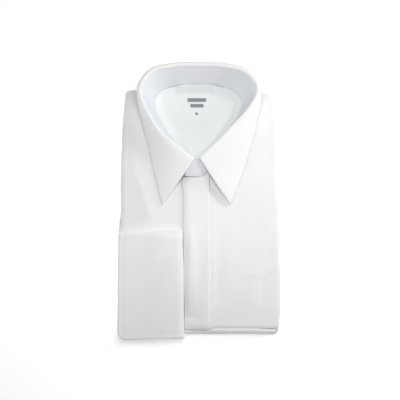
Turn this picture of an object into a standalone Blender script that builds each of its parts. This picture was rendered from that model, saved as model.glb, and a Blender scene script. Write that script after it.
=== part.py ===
"""Long sleeve dress shirt, folded for display, as the pieces that a shirtmaker cuts and sews.

Sizes and places are in millimetres and become metres when a mesh is made. The shirt lies on its
back on z = 0, with +X to the right as it is looked at, +Y from the hem fold to the collar and +Z
up. Left and right in the names of the pieces are the wearer's, so the right front is at -X.
"""

import math

import bmesh
import bpy
import numpy as np

MM = 0.001

# Cloth
PANEL_WALL = 1.6        # front and yoke: poplin with the ply it is folded over
LINING_WALL = 1.2
COLLAR_WALL = 1.8       # two plies and an interlining
CUFF_WALL = 1.1         # one ply of the turned-back cuff, with its interlining
SLEEVE_WALL = 1.2       # the flattened tube, two plies
PLACKET_WALL = 2.2      # the fly is folded four times
GAP = 0.3               # between pieces that touch or are sewn together
ON_PANEL = PANEL_WALL + 2.0 * GAP

# Folded body: half widths of its flat top and heights of that top over the floor, section by
# section from the hem fold to the collar. Past the half width the cloth rolls round the fold.
# Columns: y, half width at -X, half width at +X, height at the centre, height at the fold.
BODY_SECTIONS = (
    (-158.0, 92.5, 93.0, 12.5, 10.5),
    (-140.0, 93.0, 94.5, 15.5, 12.0),
    (-110.0, 93.5, 95.0, 19.5, 14.0),
    (-70.0, 94.0, 95.2, 22.8, 15.5),
    (-10.0, 94.0, 95.0, 23.5, 16.0),
    (50.0, 94.0, 94.5, 22.0, 15.5),
    (100.0, 93.0, 93.5, 19.0, 14.0),
    (144.0, 90.0, 91.5, 16.0, 12.5),
    (160.0, 88.0, 90.0, 14.5, 11.5),
)
HALF_WIDTH = 94.0       # nominal half width, which the columns of the panels are laid out on
STRAIGHT_X = 60.0       # columns nearer the centre than this run straight
CROWN_POWER = 2.6
HEM_Y = -158.0          # start of the fold at the hem end
SHOULDER_Y = 144.0      # start of the fold along the shoulders
NECK_BOW = 14.0         # how far the top fold bows up behind the neck
NECK_BOW_ENDS = (32.0, 80.0)    # the bow is full inside the first and gone past the second
SHOULDER_SLOPE = 0.35   # the +X shoulder falls away towards its corner
SHOULDER_SLOPE_X = 76.0
ROLL_REACH = 7.0        # how far the folded edge stands out past the flat top
ROLL_FOOT = 7.5         # height of the underside of the top fold
CORE_SINK = (0.8, 0.15)         # hidden stack under the panels' seat, on top and round the folds
ROLL_STEPS = 6          # lines round the half turn of a fold
FRONT_ROLL = 4          # how many of them a front, the yoke and the fly follow
YOKE_ROLL = 4
FLY_ROLL = 3

# Cross lines of the panels, from the hem fold to below the neck, and how many follow up to the
# neck and shoulder seams
PANEL_LINES = (-158.0, -150.0, -140.0, -125.0, -105.0, -80.0, -50.0, -20.0, 0.0, 10.0, 17.0,
               23.0, 28.0)
NECK_LINES = 5

# The hollow that the cloth sinks into beside the cuff, towards the hem fold
HOLLOW_X = -17.0
HOLLOW_WIDTH = 15.0
HOLLOW_DEPTH = 2.5
HOLLOW_START = (-95.0, -145.0)  # where it starts and where it is full
HOLLOW_END = (-148.0, -158.0)   # where it fades towards the fold, by this part
HOLLOW_FADE = 0.6

# Edge of the layers under the top fold, as two rounded lips, from under the fold to the floor.
# Columns: step out from the reach of the lips (None is under the fold), height over the floor.
LIP_PROFILE = (
    (None, 6.5),
    (None, 4.9),
    (-1.0, 4.6),
    (0.0, 3.4),
    (-0.7, 2.7),
    (-2.6, 2.35),
    (-1.4, 1.2),
    (-2.4, 0.0),
)
LIP_CORNER = 4.0        # 2 is a round corner, and more is a squarer one
LIP_REACH_SIDE = 9.6
LIP_REACH_HEM = 14.6
LIP_REACH_TOP = 7.5
LIP_REACH_UNDER_SLEEVE = 1.5
LIP_SLEEVE_END = (-10.0, 15.0)  # where the layers come out again past the sleeve

# Centre front
FLY_EDGE_X = -19.0      # free edge of the left front, which laps over the right one
FLY_OVERHANG = 0.8      # the fly stands out past that edge
FLY_STITCH_X = 13.5     # row of stitches that holds the placket
FLY_SOFT_EDGE = (0.35, 7.0)     # part of the thickness at its free edge, and where it is full
FLY_STITCHED = (0.6, 2.0)       # part of the thickness at the stitches, and where it is full
FLY_HEM = (0.45, 12.0)          # part of the thickness at the hem fold, and where it is full
UNDERLAP_X = 4.0        # edge of the right front, under the fly
LAP_CLEAR = 0.4         # the left front lies this loosely on the right one
LAP_RAMP = (8.0, 22.0)  # where it comes down from it

# Puffs and soft folds that stand up from the fronts
# Columns: from x, from y, to x, to y, width, height.
FOLDS = (
    (95.0, -36.0, 72.0, -98.0, 15.0, 1.5),
    (72.0, -98.0, 64.0, -128.0, 13.0, 1.1),
    (84.0, 92.0, 66.0, 62.0, 13.0, 0.9),
    (-88.0, 60.0, -66.0, -20.0, 18.0, 0.9),
)

# Collar, section by section from the front end at -X round the back to the front end at +X:
# the ridge where the leaf turns over, the seam under the stand, and the edge of the leaf.
# Columns: section, ridge x y z, seam x y, edge x y z.
RIDGE = slice(1, 4)
SEAM = slice(4, 6)
EDGE = slice(6, 9)
COLLAR_SECTIONS = (
    (0, -7.0, 47.5, 45.0, -7.0, 36.5, -48.5, -8.0, 27.0),
    (1, -30.0, 65.5, 48.0, -23.0, 60.0, -57.5, 31.0, 25.2),
    (2, -52.0, 84.0, 50.5, -41.0, 87.0, -66.0, 69.0, 22.8),
    (3, -67.0, 106.0, 53.0, -54.0, 110.0, -74.5, 101.0, 20.4),
    (4, -76.5, 131.0, 54.5, -60.0, 131.0, -81.0, 130.0, 18.2),
    (5, -74.5, 149.5, 54.5, -56.0, 144.0, -79.5, 153.5, 15.5),
    (6, -59.5, 167.0, 53.0, -44.0, 152.0, -64.0, 173.5, 11.5),
    (7, -32.0, 174.0, 51.5, -24.0, 156.0, -34.0, 179.0, 9.5),
    (8, -3.0, 175.0, 51.0, -3.0, 156.5, -3.0, 180.0, 9.0),
    (9, 27.0, 174.0, 51.5, 18.0, 156.0, 29.0, 179.0, 9.5),
    (10, 55.0, 167.5, 53.0, 38.0, 152.0, 59.5, 173.5, 11.5),
    (11, 73.0, 151.5, 54.5, 51.0, 144.0, 78.5, 155.0, 15.5),
    (12, 75.5, 133.5, 54.5, 57.0, 131.0, 81.5, 132.0, 18.2),
    (13, 62.5, 111.0, 53.0, 51.0, 111.0, 75.5, 101.0, 20.6),
    (14, 45.0, 92.0, 51.0, 38.0, 89.0, 67.5, 69.0, 23.2),
    (15, 22.5, 68.5, 48.0, 17.5, 60.0, 55.0, 30.0, 26.4),
    (16, 1.0, 48.5, 45.5, 0.0, 33.0, 40.5, -8.5, 29.5),
)
COLLAR_STEPS = 3        # grid lines for each section of the table
LEAF_STEPS = 7
LEAF_BOW = 0.62         # how far the leaf stays level before it falls, as a part of its depth
LEAF_LAND = 0.9         # how far before its edge it is straight again
LEAF_CROWDING = 1.5     # lines crowd towards the ridge
LEAF_UPRIGHT = 20.0     # a leaf that spreads less than this falls square to the ridge
RIDGE_RADIUS = 1.8
STAND_STEPS = 5
STAND_TUCK = 3.5        # the top edge of the stand under the ridge
STAND_CLEAR = 1.0       # the lower edge of the stand over the panels

# Ends of the stand, where the end at +X laps over the other.
# Columns: top x y z, seam x y.
END_TOP = slice(0, 3)
END_SEAM = slice(3, 5)
STAND_UNDER_END = (
    (-3.6, 51.6, 41.0, -3.6, 37.5),
)
STAND_OVER_END = (
    (-8.5, 45.6, 42.4, -8.5, 31.0),
    (-17.5, 44.6, 39.5, -18.5, 32.5),
)

# Neck edge of the panels and of the inner yoke, which meet under the stand
NECK_MARGIN = 0.5
LINING_MARGIN = 0.7
LINING_CURL = 12.0      # how far in the inner yoke starts to rise to the stand
NECK_RISE = 5.0         # how far the stand lifts the panels at the seam
NECK_RISE_REACH = 24.0
FLY_UNDER_STAND = (-3.0, 30.0, 9.0)     # middle, half width and slope of the lift over the fly
NECK_POINTS = (-60.0, 57.0)     # where the shoulder seams meet the neck
NECK_POINT_Y = 131.5
SHOULDER_SEAM_INSET = 1.5

# Cuff: corners of the turned-back ply, then how its plies lie on each other
CUFF_FREE_X = -103.5
CUFF_FOLD_X = (-22.0, -20.6)    # at the crease and at the opening edge
CUFF_CREASE_Y = (-45.5, -43.6)  # at the free edge and at the fold
CUFF_OPEN_Y = (-181.4, -178.4)
CUFF_CORNER = 11.0
CUFF_PLY_GAP = 0.4
CUFF_INNER_X = -97.0    # where the inner ply is sewn to the sleeve
CUFF_UNDER_X = -90.0
CUFF_UNDER_FOLD = 4.0   # the under half stops short of the fold that shows
CUFF_BULGE = (1.7, 0.8)         # at the crease and at the opening edge
CUFF_BULGE_REACH = 11.0
CUFF_CREASE_PART = 0.12         # parts of the width and of the length that the turns take
CUFF_FOLD_PART = 0.06
CUFF_FLAT_X = -70.0     # the stiff cuff stays flatter than the panel past this
CUFF_SLACK = 0.5

# Sleeve end round the side fold
SLEEVE_START_X = -90.8
SLEEVE_Y = (-176.0, -48.0)
SLEEVE_FLARE = 36.0     # how much wider it is where it goes under
SLEEVE_FLARE_LOW = 0.15         # part of the flare that is at the hem end
SLEEVE_REACH = 10.6
SLEEVE_LIFT = 1.2       # its middle over the seat of the cuff
SLEEVE_FOOT = 1.0
SLEEVE_TURN = 156.0     # degrees that it goes round the side fold
SLEEVE_LINES = 12
SLEEVE_ROLL_LINES = 9

WHITE = (0.86, 0.87, 0.88, 1.0)
SHADED_WHITE = (0.80, 0.80, 0.83, 1.0)


def smooth(t):
    """Soft step from 0 to 1."""
    t = min(max(t, 0.0), 1.0)
    return t * t * (3.0 - 2.0 * t)


def step_between(ends, value):
    """Soft step that is 0 at the first end and 1 at the second."""
    return smooth((value - ends[0]) / (ends[1] - ends[0]))


def blend(low, high, t):
    """Value between two others."""
    return low + (high - low) * t


def read_along(table, place):
    """Values at a place on the smooth curves through a table, whose first column is the place."""
    rows = np.asarray(table, float)
    knots = rows[:, 0]
    last = len(knots) - 1
    place = min(max(place, knots[0]), knots[last])
    k = min(int(np.searchsorted(knots, place, side="right")) - 1, last - 1)
    span = knots[k + 1] - knots[k]
    t = (place - knots[k]) / span

    def slope(i):
        before = max(i - 1, 0)
        after = min(i + 1, last)
        return (rows[after] - rows[before]) / (knots[after] - knots[before])

    t2 = t * t
    t3 = t2 * t
    return ((2 * t3 - 3 * t2 + 1) * rows[k] + (t3 - 2 * t2 + t) * span * slope(k)
            + (3 * t2 - 2 * t3) * rows[k + 1] + (t3 - t2) * span * slope(k + 1))


def half_width(y, side):
    """Half width of the flat top at y, on the side that the sign of side gives."""
    section = read_along(BODY_SECTIONS, y)
    return section[1] if side < 0.0 else section[2]


def hollow(x, y):
    """Depth of the hollow beside the cuff."""
    across = math.exp(-((x - HOLLOW_X) / HOLLOW_WIDTH) ** 2)
    grows = step_between(HOLLOW_START, y) * (1.0 - HOLLOW_FADE * step_between(HOLLOW_END, y))
    return HOLLOW_DEPTH * across * grows


def top_height(x, y):
    """Height of the folded layers' top over the floor."""
    _, left, right, centre, edge = read_along(BODY_SECTIONS, y)
    out = min(abs(x) / (left if x < 0.0 else right), 1.0)
    return edge + (centre - edge) * (1.0 - out ** CROWN_POWER) - hollow(x, y)


def top_fold_y(x):
    """Where the top fold starts: bowed behind the neck, and sloped at the +X shoulder."""
    bow = NECK_BOW * (1.0 - step_between(NECK_BOW_ENDS, abs(x)))
    return SHOULDER_Y + bow - SHOULDER_SLOPE * max(0.0, x - SHOULDER_SLOPE_X)


def skin(x, y, lift=0.0, side=0.0, end=0.0):
    """Point on the folded body, moved out by lift.

    side and end run from 0 at the start of a fold to 1 or -1 under it, towards +X or -X and +Y
    or -Y.
    """
    step = 0.5
    height = top_height(x, y)
    slope_x = (top_height(x + step, y) - top_height(x - step, y)) / (2.0 * step)
    slope_y = (top_height(x, y + step) - top_height(x, y - step)) / (2.0 * step)
    angle = math.pi * max(abs(side), abs(end))
    if angle == 0.0:
        normal = np.array((-slope_x, -slope_y, 1.0))
        return np.array((x, y, height)) + normal * (lift / np.linalg.norm(normal))
    way = np.array((side, end)) / math.hypot(side, end)
    half = (height - ROLL_FOOT) / 2.0
    out = ROLL_REACH * math.sin(angle)
    place = np.array((x + way[0] * out, y + way[1] * out,
                      ROLL_FOOT + half + half * math.cos(angle)))
    level = max(math.cos(angle), 0.0)
    push = math.sin(angle) * half / ROLL_REACH
    normal = np.array((way[0] * push - slope_x * level, way[1] * push - slope_y * level,
                       math.cos(angle)))
    return place + normal * (lift / np.linalg.norm(normal))


def neck_loop():
    """Seam under the stand as a closed ring of points."""
    sections = np.linspace(0, len(COLLAR_SECTIONS) - 1, 97)
    return np.array([read_along(COLLAR_SECTIONS, s)[SEAM] for s in sections])


NECK = neck_loop()


def neck_distance(x, y):
    """Distance from the neck seam."""
    start = NECK
    run = np.roll(NECK, -1, axis=0) - start
    to_point = np.array((x, y)) - start
    part = np.clip((to_point * run).sum(1) / np.maximum((run * run).sum(1), 1e-9), 0.0, 1.0)
    return float(np.sqrt((((to_point - part[:, None] * run)) ** 2).sum(1).min()))


def neck_rise(x, y, side=0.0, end=0.0):
    """How far the stand lifts the panels near the neck, fading round a fold."""
    near = 1.0 - smooth(neck_distance(x, y) / NECK_RISE_REACH)
    return NECK_RISE * near * (1.0 - smooth(2.0 * max(abs(side), abs(end))))


def seam_curve(first, last, ends=()):
    """Points of the neck seam between two sections, with the seam of the stand's lapped end."""
    points = [tuple(read_along(COLLAR_SECTIONS, s)[SEAM]) for s in np.linspace(first, last, 61)]
    points += [row[END_SEAM] for row in ends]
    return np.array(sorted(points))


RIGHT_NECKLINE = seam_curve(0.0, 4.0, STAND_UNDER_END)
LEFT_NECKLINE = seam_curve(12.0, 16.0, STAND_OVER_END)
BACK_NECKLINE = seam_curve(4.0, 12.0)


def neck_y(curve, x):
    """Where a neckline is at x."""
    return float(np.interp(x, curve[:, 0], curve[:, 1]))


def past_neck(x):
    """Part of the way from the neck point to the side fold, on either side."""
    neck = abs(NECK_POINTS[0] if x < 0.0 else NECK_POINTS[1])
    return (abs(x) - neck) / (HALF_WIDTH - neck)


def shoulder_seam_y(x):
    """Seam between a front and the yoke."""
    return blend(NECK_POINT_Y, top_fold_y(x) - SHOULDER_SEAM_INSET, smooth(past_neck(x)))


def lap_lift(x):
    """Extra height of the left front where it laps over the right one."""
    return (PANEL_WALL + LAP_CLEAR) * (1.0 - step_between(LAP_RAMP, x))


def fold_height(x, y):
    """Height of the soft folds at a place on the fronts."""
    total = 0.0
    for x0, y0, x1, y1, width, height in FOLDS:
        run = np.array((x1 - x0, y1 - y0))
        to_point = np.array((x - x0, y - y0))
        part = min(max(float(to_point @ run) / float(run @ run), 0.0), 1.0)
        away = float(np.linalg.norm(to_point - part * run)) / width
        total = max(total, height * math.exp(-2.5 * away * away))
    return total


def column_x(x, y):
    """A column's x at y: straight near the centre, and following the side fold farther out."""
    grown = half_width(y, x) - HALF_WIDTH
    part = smooth((abs(x) - STRAIGHT_X) / (HALF_WIDTH - STRAIGHT_X))
    return x + math.copysign(1.0, x) * grown * part


def clear_scene():
    """Start from an empty scene."""
    for item in list(bpy.data.objects):
        bpy.data.objects.remove(item)


def cloth_material(name, colour):
    """Matt white cloth."""
    material = bpy.data.materials.new(name + "_cloth")
    material.use_nodes = True
    shader = material.node_tree.nodes["Principled BSDF"]
    shader.inputs["Base Color"].default_value = colour
    shader.inputs["Roughness"].default_value = 0.85
    shader.inputs["Metallic"].default_value = 0.0
    return material


def add_solid(name, points, faces, colour=WHITE):
    """Closed mesh object from points in millimetres."""
    mesh = bpy.data.meshes.new(name)
    mesh.from_pydata([tuple(p * MM) for p in np.asarray(points)], [], faces)
    shell = bmesh.new()
    shell.from_mesh(mesh)
    bmesh.ops.recalc_face_normals(shell, faces=shell.faces)
    shell.to_mesh(mesh)
    shell.free()
    mesh.shade_smooth()
    mesh.set_sharp_from_angle(angle=math.radians(40.0))
    mesh.materials.append(cloth_material(name, colour))
    solid = bpy.data.objects.new(name, mesh)
    bpy.context.scene.collection.objects.link(solid)
    return solid


def grid_faces(rows, columns, start=0):
    """Triangles of a grid whose points are numbered row by row, all split the same way."""
    faces = []
    for i in range(rows - 1):
        for j in range(columns - 1):
            a = start + i * columns + j
            across = a + columns + 1
            faces.append((a, a + 1, across))
            faces.append((a, across, a + columns))
    return faces


def grid_border(rows, columns):
    """Numbers of a grid's border points, in order round it."""
    low = [j for j in range(columns)]
    right = [i * columns + columns - 1 for i in range(1, rows)]
    high = [(rows - 1) * columns + j for j in range(columns - 2, -1, -1)]
    left = [i * columns for i in range(rows - 2, 0, -1)]
    return low + right + high + left


def add_wall(name, inner, outer, colour=WHITE):
    """Closed wall between two grids of points."""
    rows, columns = inner.shape[:2]
    count = rows * columns
    faces = grid_faces(rows, columns) + grid_faces(rows, columns, count)
    border = grid_border(rows, columns)
    for a, b in zip(border, border[1:] + border[:1]):
        faces.append((b, a, a + count, b + count))
    points = np.concatenate((outer.reshape(-1, 3), inner.reshape(-1, 3)))
    return add_solid(name, points, faces, colour)


def add_sheet(name, middle, thickness, colour=WHITE):
    """Closed wall of even thickness round a grid of points."""
    along = np.gradient(middle, axis=0)
    across = np.gradient(middle, axis=1)
    normal = np.cross(along, across)
    normal /= np.linalg.norm(normal, axis=2)[:, :, None]
    half = normal * (thickness / 2.0)
    return add_wall(name, middle - half, middle + half, colour)


def roll_steps(count):
    """The first steps round a fold, as parts of the half turn under it."""
    return [(i + 1) / ROLL_STEPS for i in range(count)]


def cross_lines(high):
    """Lines of a column from the hem fold up to its upper edge."""
    last = PANEL_LINES[-1]
    return list(PANEL_LINES) + [blend(last, high, (i + 1) / NECK_LINES) for i in range(NECK_LINES)]


def add_panel(name, columns, y_high, lift, thickness, side_roll=(), end_roll=(), colour=WHITE):
    """Piece that lies on the folded body.

    columns are x places; side_roll carries the last of them round the side fold, and end_roll
    carries every column round the fold at the hem end.
    """
    last = columns[-1]
    places = [(x, 0.0) for x in columns]
    places += [(last, math.copysign(turn, last)) for turn in side_roll]
    inner = []
    outer = []
    for x_column, side in places:
        lines = [(HEM_Y, -turn) for turn in reversed(end_roll)]
        lines += [(y, 0.0) for y in cross_lines(y_high(x_column))]
        inner_line = []
        outer_line = []
        for y, end in lines:
            x = column_x(x_column, y)
            base = lift(x, y)
            inner_line.append(skin(x, y, base, side, end))
            outer_line.append(skin(x, y, base + thickness(x, y), side, end))
        inner.append(inner_line)
        outer.append(outer_line)
    return add_wall(name, np.array(inner), np.array(outer), colour)


def add_folded_layers():
    """Hidden stack: back, side folds, second sleeve and tail, with a lip for each layer."""
    turns = roll_steps(ROLL_STEPS)
    half_columns = [13.0, 26.0, 38.0, 48.0, 57.5, 67.0, 75.0, 84.0, HALF_WIDTH]
    columns = [(-HALF_WIDTH, -turn) for turn in reversed(turns)]
    columns += [(-x, 0.0) for x in reversed(half_columns)] + [(0.0, 0.0)]
    columns += [(x, 0.0) for x in half_columns]
    columns += [(HALF_WIDTH, turn) for turn in turns]
    sink_top, sink_fold = CORE_SINK
    points = []
    cores = []
    for x_column, side in columns:
        high = top_fold_y(x_column)
        lines = [(HEM_Y, -turn) for turn in reversed(turns)]
        lines += [(y, 0.0) for y in cross_lines(high)]
        lines += [(high, turn) for turn in turns]
        for y, end in lines:
            x = column_x(x_column, y)
            inside = abs(x_column) < HALF_WIDTH and HEM_Y < y < high
            points.append(skin(x, y, -sink_top if inside else -sink_fold, side, end))
            cores.append((x, y, side, end))
    rows = len(columns)
    width = len(points) // rows
    faces = grid_faces(rows, width)
    border = grid_border(rows, width)
    ring = list(border)
    for step_out, z in LIP_PROFILE:
        next_ring = []
        for number in border:
            x, y, side, end = cores[number]
            reach_x, reach_y = lip_reach(x, y, side, end, step_out)
            next_ring.append(len(points))
            points.append(np.array((x + reach_x, y + reach_y, z)))
        for k in range(len(ring)):
            after = (k + 1) % len(ring)
            faces.append((ring[k], ring[after], next_ring[after], next_ring[k]))
        ring = next_ring
    faces.append(tuple(ring))
    return add_solid("folded_layers", points, faces, SHADED_WHITE)


def lip_reach(x, y, side, end, step_out):
    """How far the layers under the top fold stand out in x and y at a place on its edge."""
    way = np.array((side, end))
    way /= (np.abs(way) ** LIP_CORNER).sum() ** (1.0 / LIP_CORNER)
    side_reach = LIP_REACH_SIDE
    if x < 0.0:
        side_reach = blend(LIP_REACH_UNDER_SLEEVE, LIP_REACH_SIDE,
                           step_between(LIP_SLEEVE_END, y))
    end_reach = LIP_REACH_HEM if end < 0.0 else LIP_REACH_TOP
    if step_out is None:
        return -way
    return way * (np.array((side_reach, end_reach)) + step_out)


def front_high_y(neckline, x):
    """Upper edge of a front at x: its neckline, then the shoulder seam."""
    if past_neck(x) < 0.0:
        return min(neck_y(neckline, x), NECK_POINT_Y) - NECK_MARGIN
    return shoulder_seam_y(x)


def add_fronts():
    """The two front panels, from the neck and shoulder seams to the hem fold."""
    neck_right, neck_left = NECK_POINTS
    turns = roll_steps(FRONT_ROLL)
    add_panel(
        "front_right",
        [UNDERLAP_X, -4.0, -12.5, -19.0, -28.0, -37.0, -46.0, -53.0, -57.5, neck_right,
         -67.0, -75.0, -84.0, -HALF_WIDTH],
        lambda x: front_high_y(RIGHT_NECKLINE, x),
        lambda x, y: GAP + neck_rise(x, y) + fold_height(x, y) * smooth((-x - 24.0) / 10.0),
        lambda x, y: PANEL_WALL,
        turns,
        turns,
    )
    add_panel(
        "front_left",
        [FLY_EDGE_X, -12.5, -4.0, 4.0, 11.5, FLY_STITCH_X, 20.0, 28.0, 36.0, 44.0, 50.0, 54.5,
         neck_left, 67.0, 75.0, 84.0, HALF_WIDTH],
        lambda x: front_high_y(LEFT_NECKLINE, x),
        lambda x, y: GAP + lap_lift(x) + neck_rise(x, y) + fold_height(x, y),
        lambda x, y: PANEL_WALL,
        turns,
        turns,
    )


def add_placket():
    """Covered fly on the left front: thick, with a soft free edge and a stitched one."""
    free_edge = FLY_EDGE_X - FLY_OVERHANG

    def thickness(x, y):
        at_edge, reach = FLY_SOFT_EDGE
        soft = blend(at_edge, 1.0, math.sin(0.5 * math.pi * min((x - free_edge) / reach, 1.0)))
        at_stitches, reach = FLY_STITCHED
        stitched = blend(at_stitches, 1.0, smooth((FLY_STITCH_X - x) / reach))
        at_hem, reach = FLY_HEM
        hem = blend(at_hem, 1.0, smooth((y - HEM_Y) / reach))
        return PLACKET_WALL * soft * stitched * hem

    add_panel(
        "placket",
        [free_edge, -18.0, -15.5, -12.5, -4.0, 4.0, 11.5, FLY_STITCH_X],
        lambda x: front_high_y(LEFT_NECKLINE, x),
        lambda x, y: ON_PANEL + lap_lift(x) + neck_rise(x, y) + fold_height(x, y),
        thickness,
        (),
        roll_steps(FLY_ROLL),
    )


def add_yoke():
    """Outer yoke: shoulder strips that meet behind the neck and roll over the top fold."""
    turns = roll_steps(YOKE_ROLL)
    neck_right, neck_left = NECK_POINTS
    columns = [-HALF_WIDTH, -84.0, -75.0, -67.0, neck_right, -59.0, -57.5, -54.0, -48.0, -38.0,
               -26.0, -13.0, 0.0, 13.0, 26.0, 38.0, 48.0, 51.5, 54.5, neck_left, 67.0, 75.0,
               84.0, HALF_WIDTH]
    places = [(columns[0], -turn) for turn in reversed(turns)]
    places += [(x, 0.0) for x in columns]
    places += [(columns[-1], turn) for turn in turns]
    rows = 3
    inner = []
    outer = []
    for x_column, side in places:
        low = shoulder_seam_y(x_column) + GAP
        if past_neck(x_column) < 0.0:
            low = max(low, neck_y(BACK_NECKLINE, x_column) + NECK_MARGIN)
        high = top_fold_y(x_column)
        lines = [(blend(low, high, i / rows), 0.0) for i in range(rows + 1)]
        lines += [(high, turn) for turn in turns]
        inner_line = []
        outer_line = []
        for y, end in lines:
            x = column_x(x_column, y)
            base = GAP + neck_rise(x, y, side, end)
            inner_line.append(skin(x, y, base, side, end))
            outer_line.append(skin(x, y, base + PANEL_WALL, side, end))
        inner.append(inner_line)
        outer.append(outer_line)
    return add_wall("yoke", np.array(inner), np.array(outer))


def lining_lift(x, y):
    """Height of the inner yoke over the folded layers: it rises to meet the stand."""
    near = 1.0 - smooth((neck_distance(x, y) - LINING_MARGIN) / LINING_CURL)
    return GAP + (NECK_RISE + panel_stack(x) - LINING_WALL - GAP) * near


def add_yoke_lining():
    """Inner yoke, the cloth seen through the neck."""
    centre = np.array((NECK[:, 0].mean(), 105.0))
    rings = (0.3, 0.6, 0.78, 0.87, 0.94, 1.0)
    count = 36
    border = []
    for k in range(count):
        point = read_along(COLLAR_SECTIONS, (len(COLLAR_SECTIONS) - 1) * k / count)[SEAM]
        away = point - centre
        border.append(point - away * (LINING_MARGIN / np.linalg.norm(away)))
    points = []
    for wall in (LINING_WALL, 0.0):
        points.append(skin(centre[0], centre[1], GAP + wall))
        for ring in rings:
            for point in border:
                place = blend(centre, point, ring)
                lift = lining_lift(place[0], place[1])
                points.append(skin(place[0], place[1], lift + wall))
    half = len(points) // 2
    faces = []
    for start in (0, half):
        for k in range(count):
            after = (k + 1) % count
            faces.append((start, start + 1 + k, start + 1 + after))
            for ring in range(len(rings) - 1):
                a = start + 1 + ring * count
                faces.append((a + k, a + count + k, a + count + after, a + after))
    edge = 1 + (len(rings) - 1) * count
    for k in range(count):
        after = (k + 1) % count
        faces.append((edge + k, edge + after, half + edge + after, half + edge + k))
    return add_solid("yoke_lining", points, faces, SHADED_WHITE)


def panel_stack(x):
    """Height of the panels' outer side over the folded layers at the neck seam."""
    fly = PLACKET_WALL + GAP + PANEL_WALL + GAP
    middle, half, slope = FLY_UNDER_STAND
    return PANEL_WALL + GAP + fly * smooth((half - abs(x - middle)) / slope)


def stand_seat(x, y):
    """Height of the middle of the stand's lower edge."""
    return top_height(x, y) + NECK_RISE + panel_stack(x) + GAP + STAND_CLEAR


def collar_out(section):
    """Level direction away from the neck, at a section of the collar."""
    step = 0.05
    last = len(COLLAR_SECTIONS) - 1
    before = read_along(COLLAR_SECTIONS, max(section - step, 0.0))
    after = read_along(COLLAR_SECTIONS, min(section + step, last))
    run = after[RIDGE] - before[RIDGE]
    out = np.array((-run[1], run[0], 0.0))
    return out / np.linalg.norm(out)


def add_collar_stand():
    """Band that stands up from the neck seam, with its ends lapped at the front."""
    edges = []
    last = len(COLLAR_SECTIONS) - 1
    for row in STAND_UNDER_END:
        edges.append((np.array(row[END_TOP]), np.array(row[END_SEAM])))
    for k in range(COLLAR_STEPS * last + 1):
        section = k / COLLAR_STEPS
        values = read_along(COLLAR_SECTIONS, section)
        top = values[RIDGE] - collar_out(section) * RIDGE_RADIUS
        top[2] -= STAND_TUCK
        edges.append((top, values[SEAM]))
    for row in STAND_OVER_END:
        edges.append((np.array(row[END_TOP]), np.array(row[END_SEAM])))
    grid = []
    for top, seam in edges:
        foot = np.array((seam[0], seam[1], stand_seat(seam[0], seam[1])))
        grid.append([blend(foot, top, i / STAND_STEPS) for i in range(STAND_STEPS + 1)])
    return add_sheet("collar_stand", np.array(grid), COLLAR_WALL)


def leaf_line(section):
    """Middle of the leaf at a section, from inside the ridge over it and down to the edge."""
    values = read_along(COLLAR_SECTIONS, section)
    ridge = values[RIDGE]
    edge = values[EDGE]
    up = np.array((0.0, 0.0, 1.0))
    out = collar_out(section)
    fall = edge - ridge
    level = np.array((fall[0], fall[1], 0.0))
    way = level / max(np.linalg.norm(level), 1e-6)
    depth = float(np.linalg.norm(fall))
    lean = smooth(np.linalg.norm(level) / LEAF_UPRIGHT)
    way = way * lean + out * (1.0 - lean)
    way /= np.linalg.norm(way)
    line = [ridge - out * RIDGE_RADIUS - up * (RIDGE_RADIUS + 0.4)]
    for angle in (60.0, 25.0):
        turn = math.radians(angle)
        line.append(ridge - out * (RIDGE_RADIUS * math.sin(turn))
                    - up * (RIDGE_RADIUS * (1.0 - math.cos(turn))))
    start = way * depth * LEAF_BOW
    finish = fall * LEAF_LAND
    for i in range(LEAF_STEPS + 1):
        t = (i / LEAF_STEPS) ** LEAF_CROWDING
        t2 = t * t
        t3 = t2 * t
        line.append((2 * t3 - 3 * t2 + 1) * ridge + (t3 - 2 * t2 + t) * start
                    + (3 * t2 - 2 * t3) * edge + (t3 - t2) * finish)
    return line


def add_collar_leaf():
    """Fall of the collar with its two points."""
    last = len(COLLAR_SECTIONS) - 1
    grid = [leaf_line(k / COLLAR_STEPS) for k in range(COLLAR_STEPS * last + 1)]
    return add_sheet("collar_leaf", np.array(grid), COLLAR_WALL)


def cuff_seat(x, y):
    """Height of the underside of the cuff, which is stiffer than the panel under it."""
    flat_x = x
    if x < CUFF_FLAT_X:
        flat_x = CUFF_FLAT_X + 0.5 * (x - CUFF_FLAT_X)
    y_on = max(y, HEM_Y)
    slope = (top_height(flat_x, HEM_Y + 1.0) - top_height(flat_x, HEM_Y)) * min(y - HEM_Y, 0.0)
    flat = top_height(flat_x, y_on) + hollow(flat_x, y_on) + slope
    return flat + ON_PANEL + CUFF_SLACK


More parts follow.
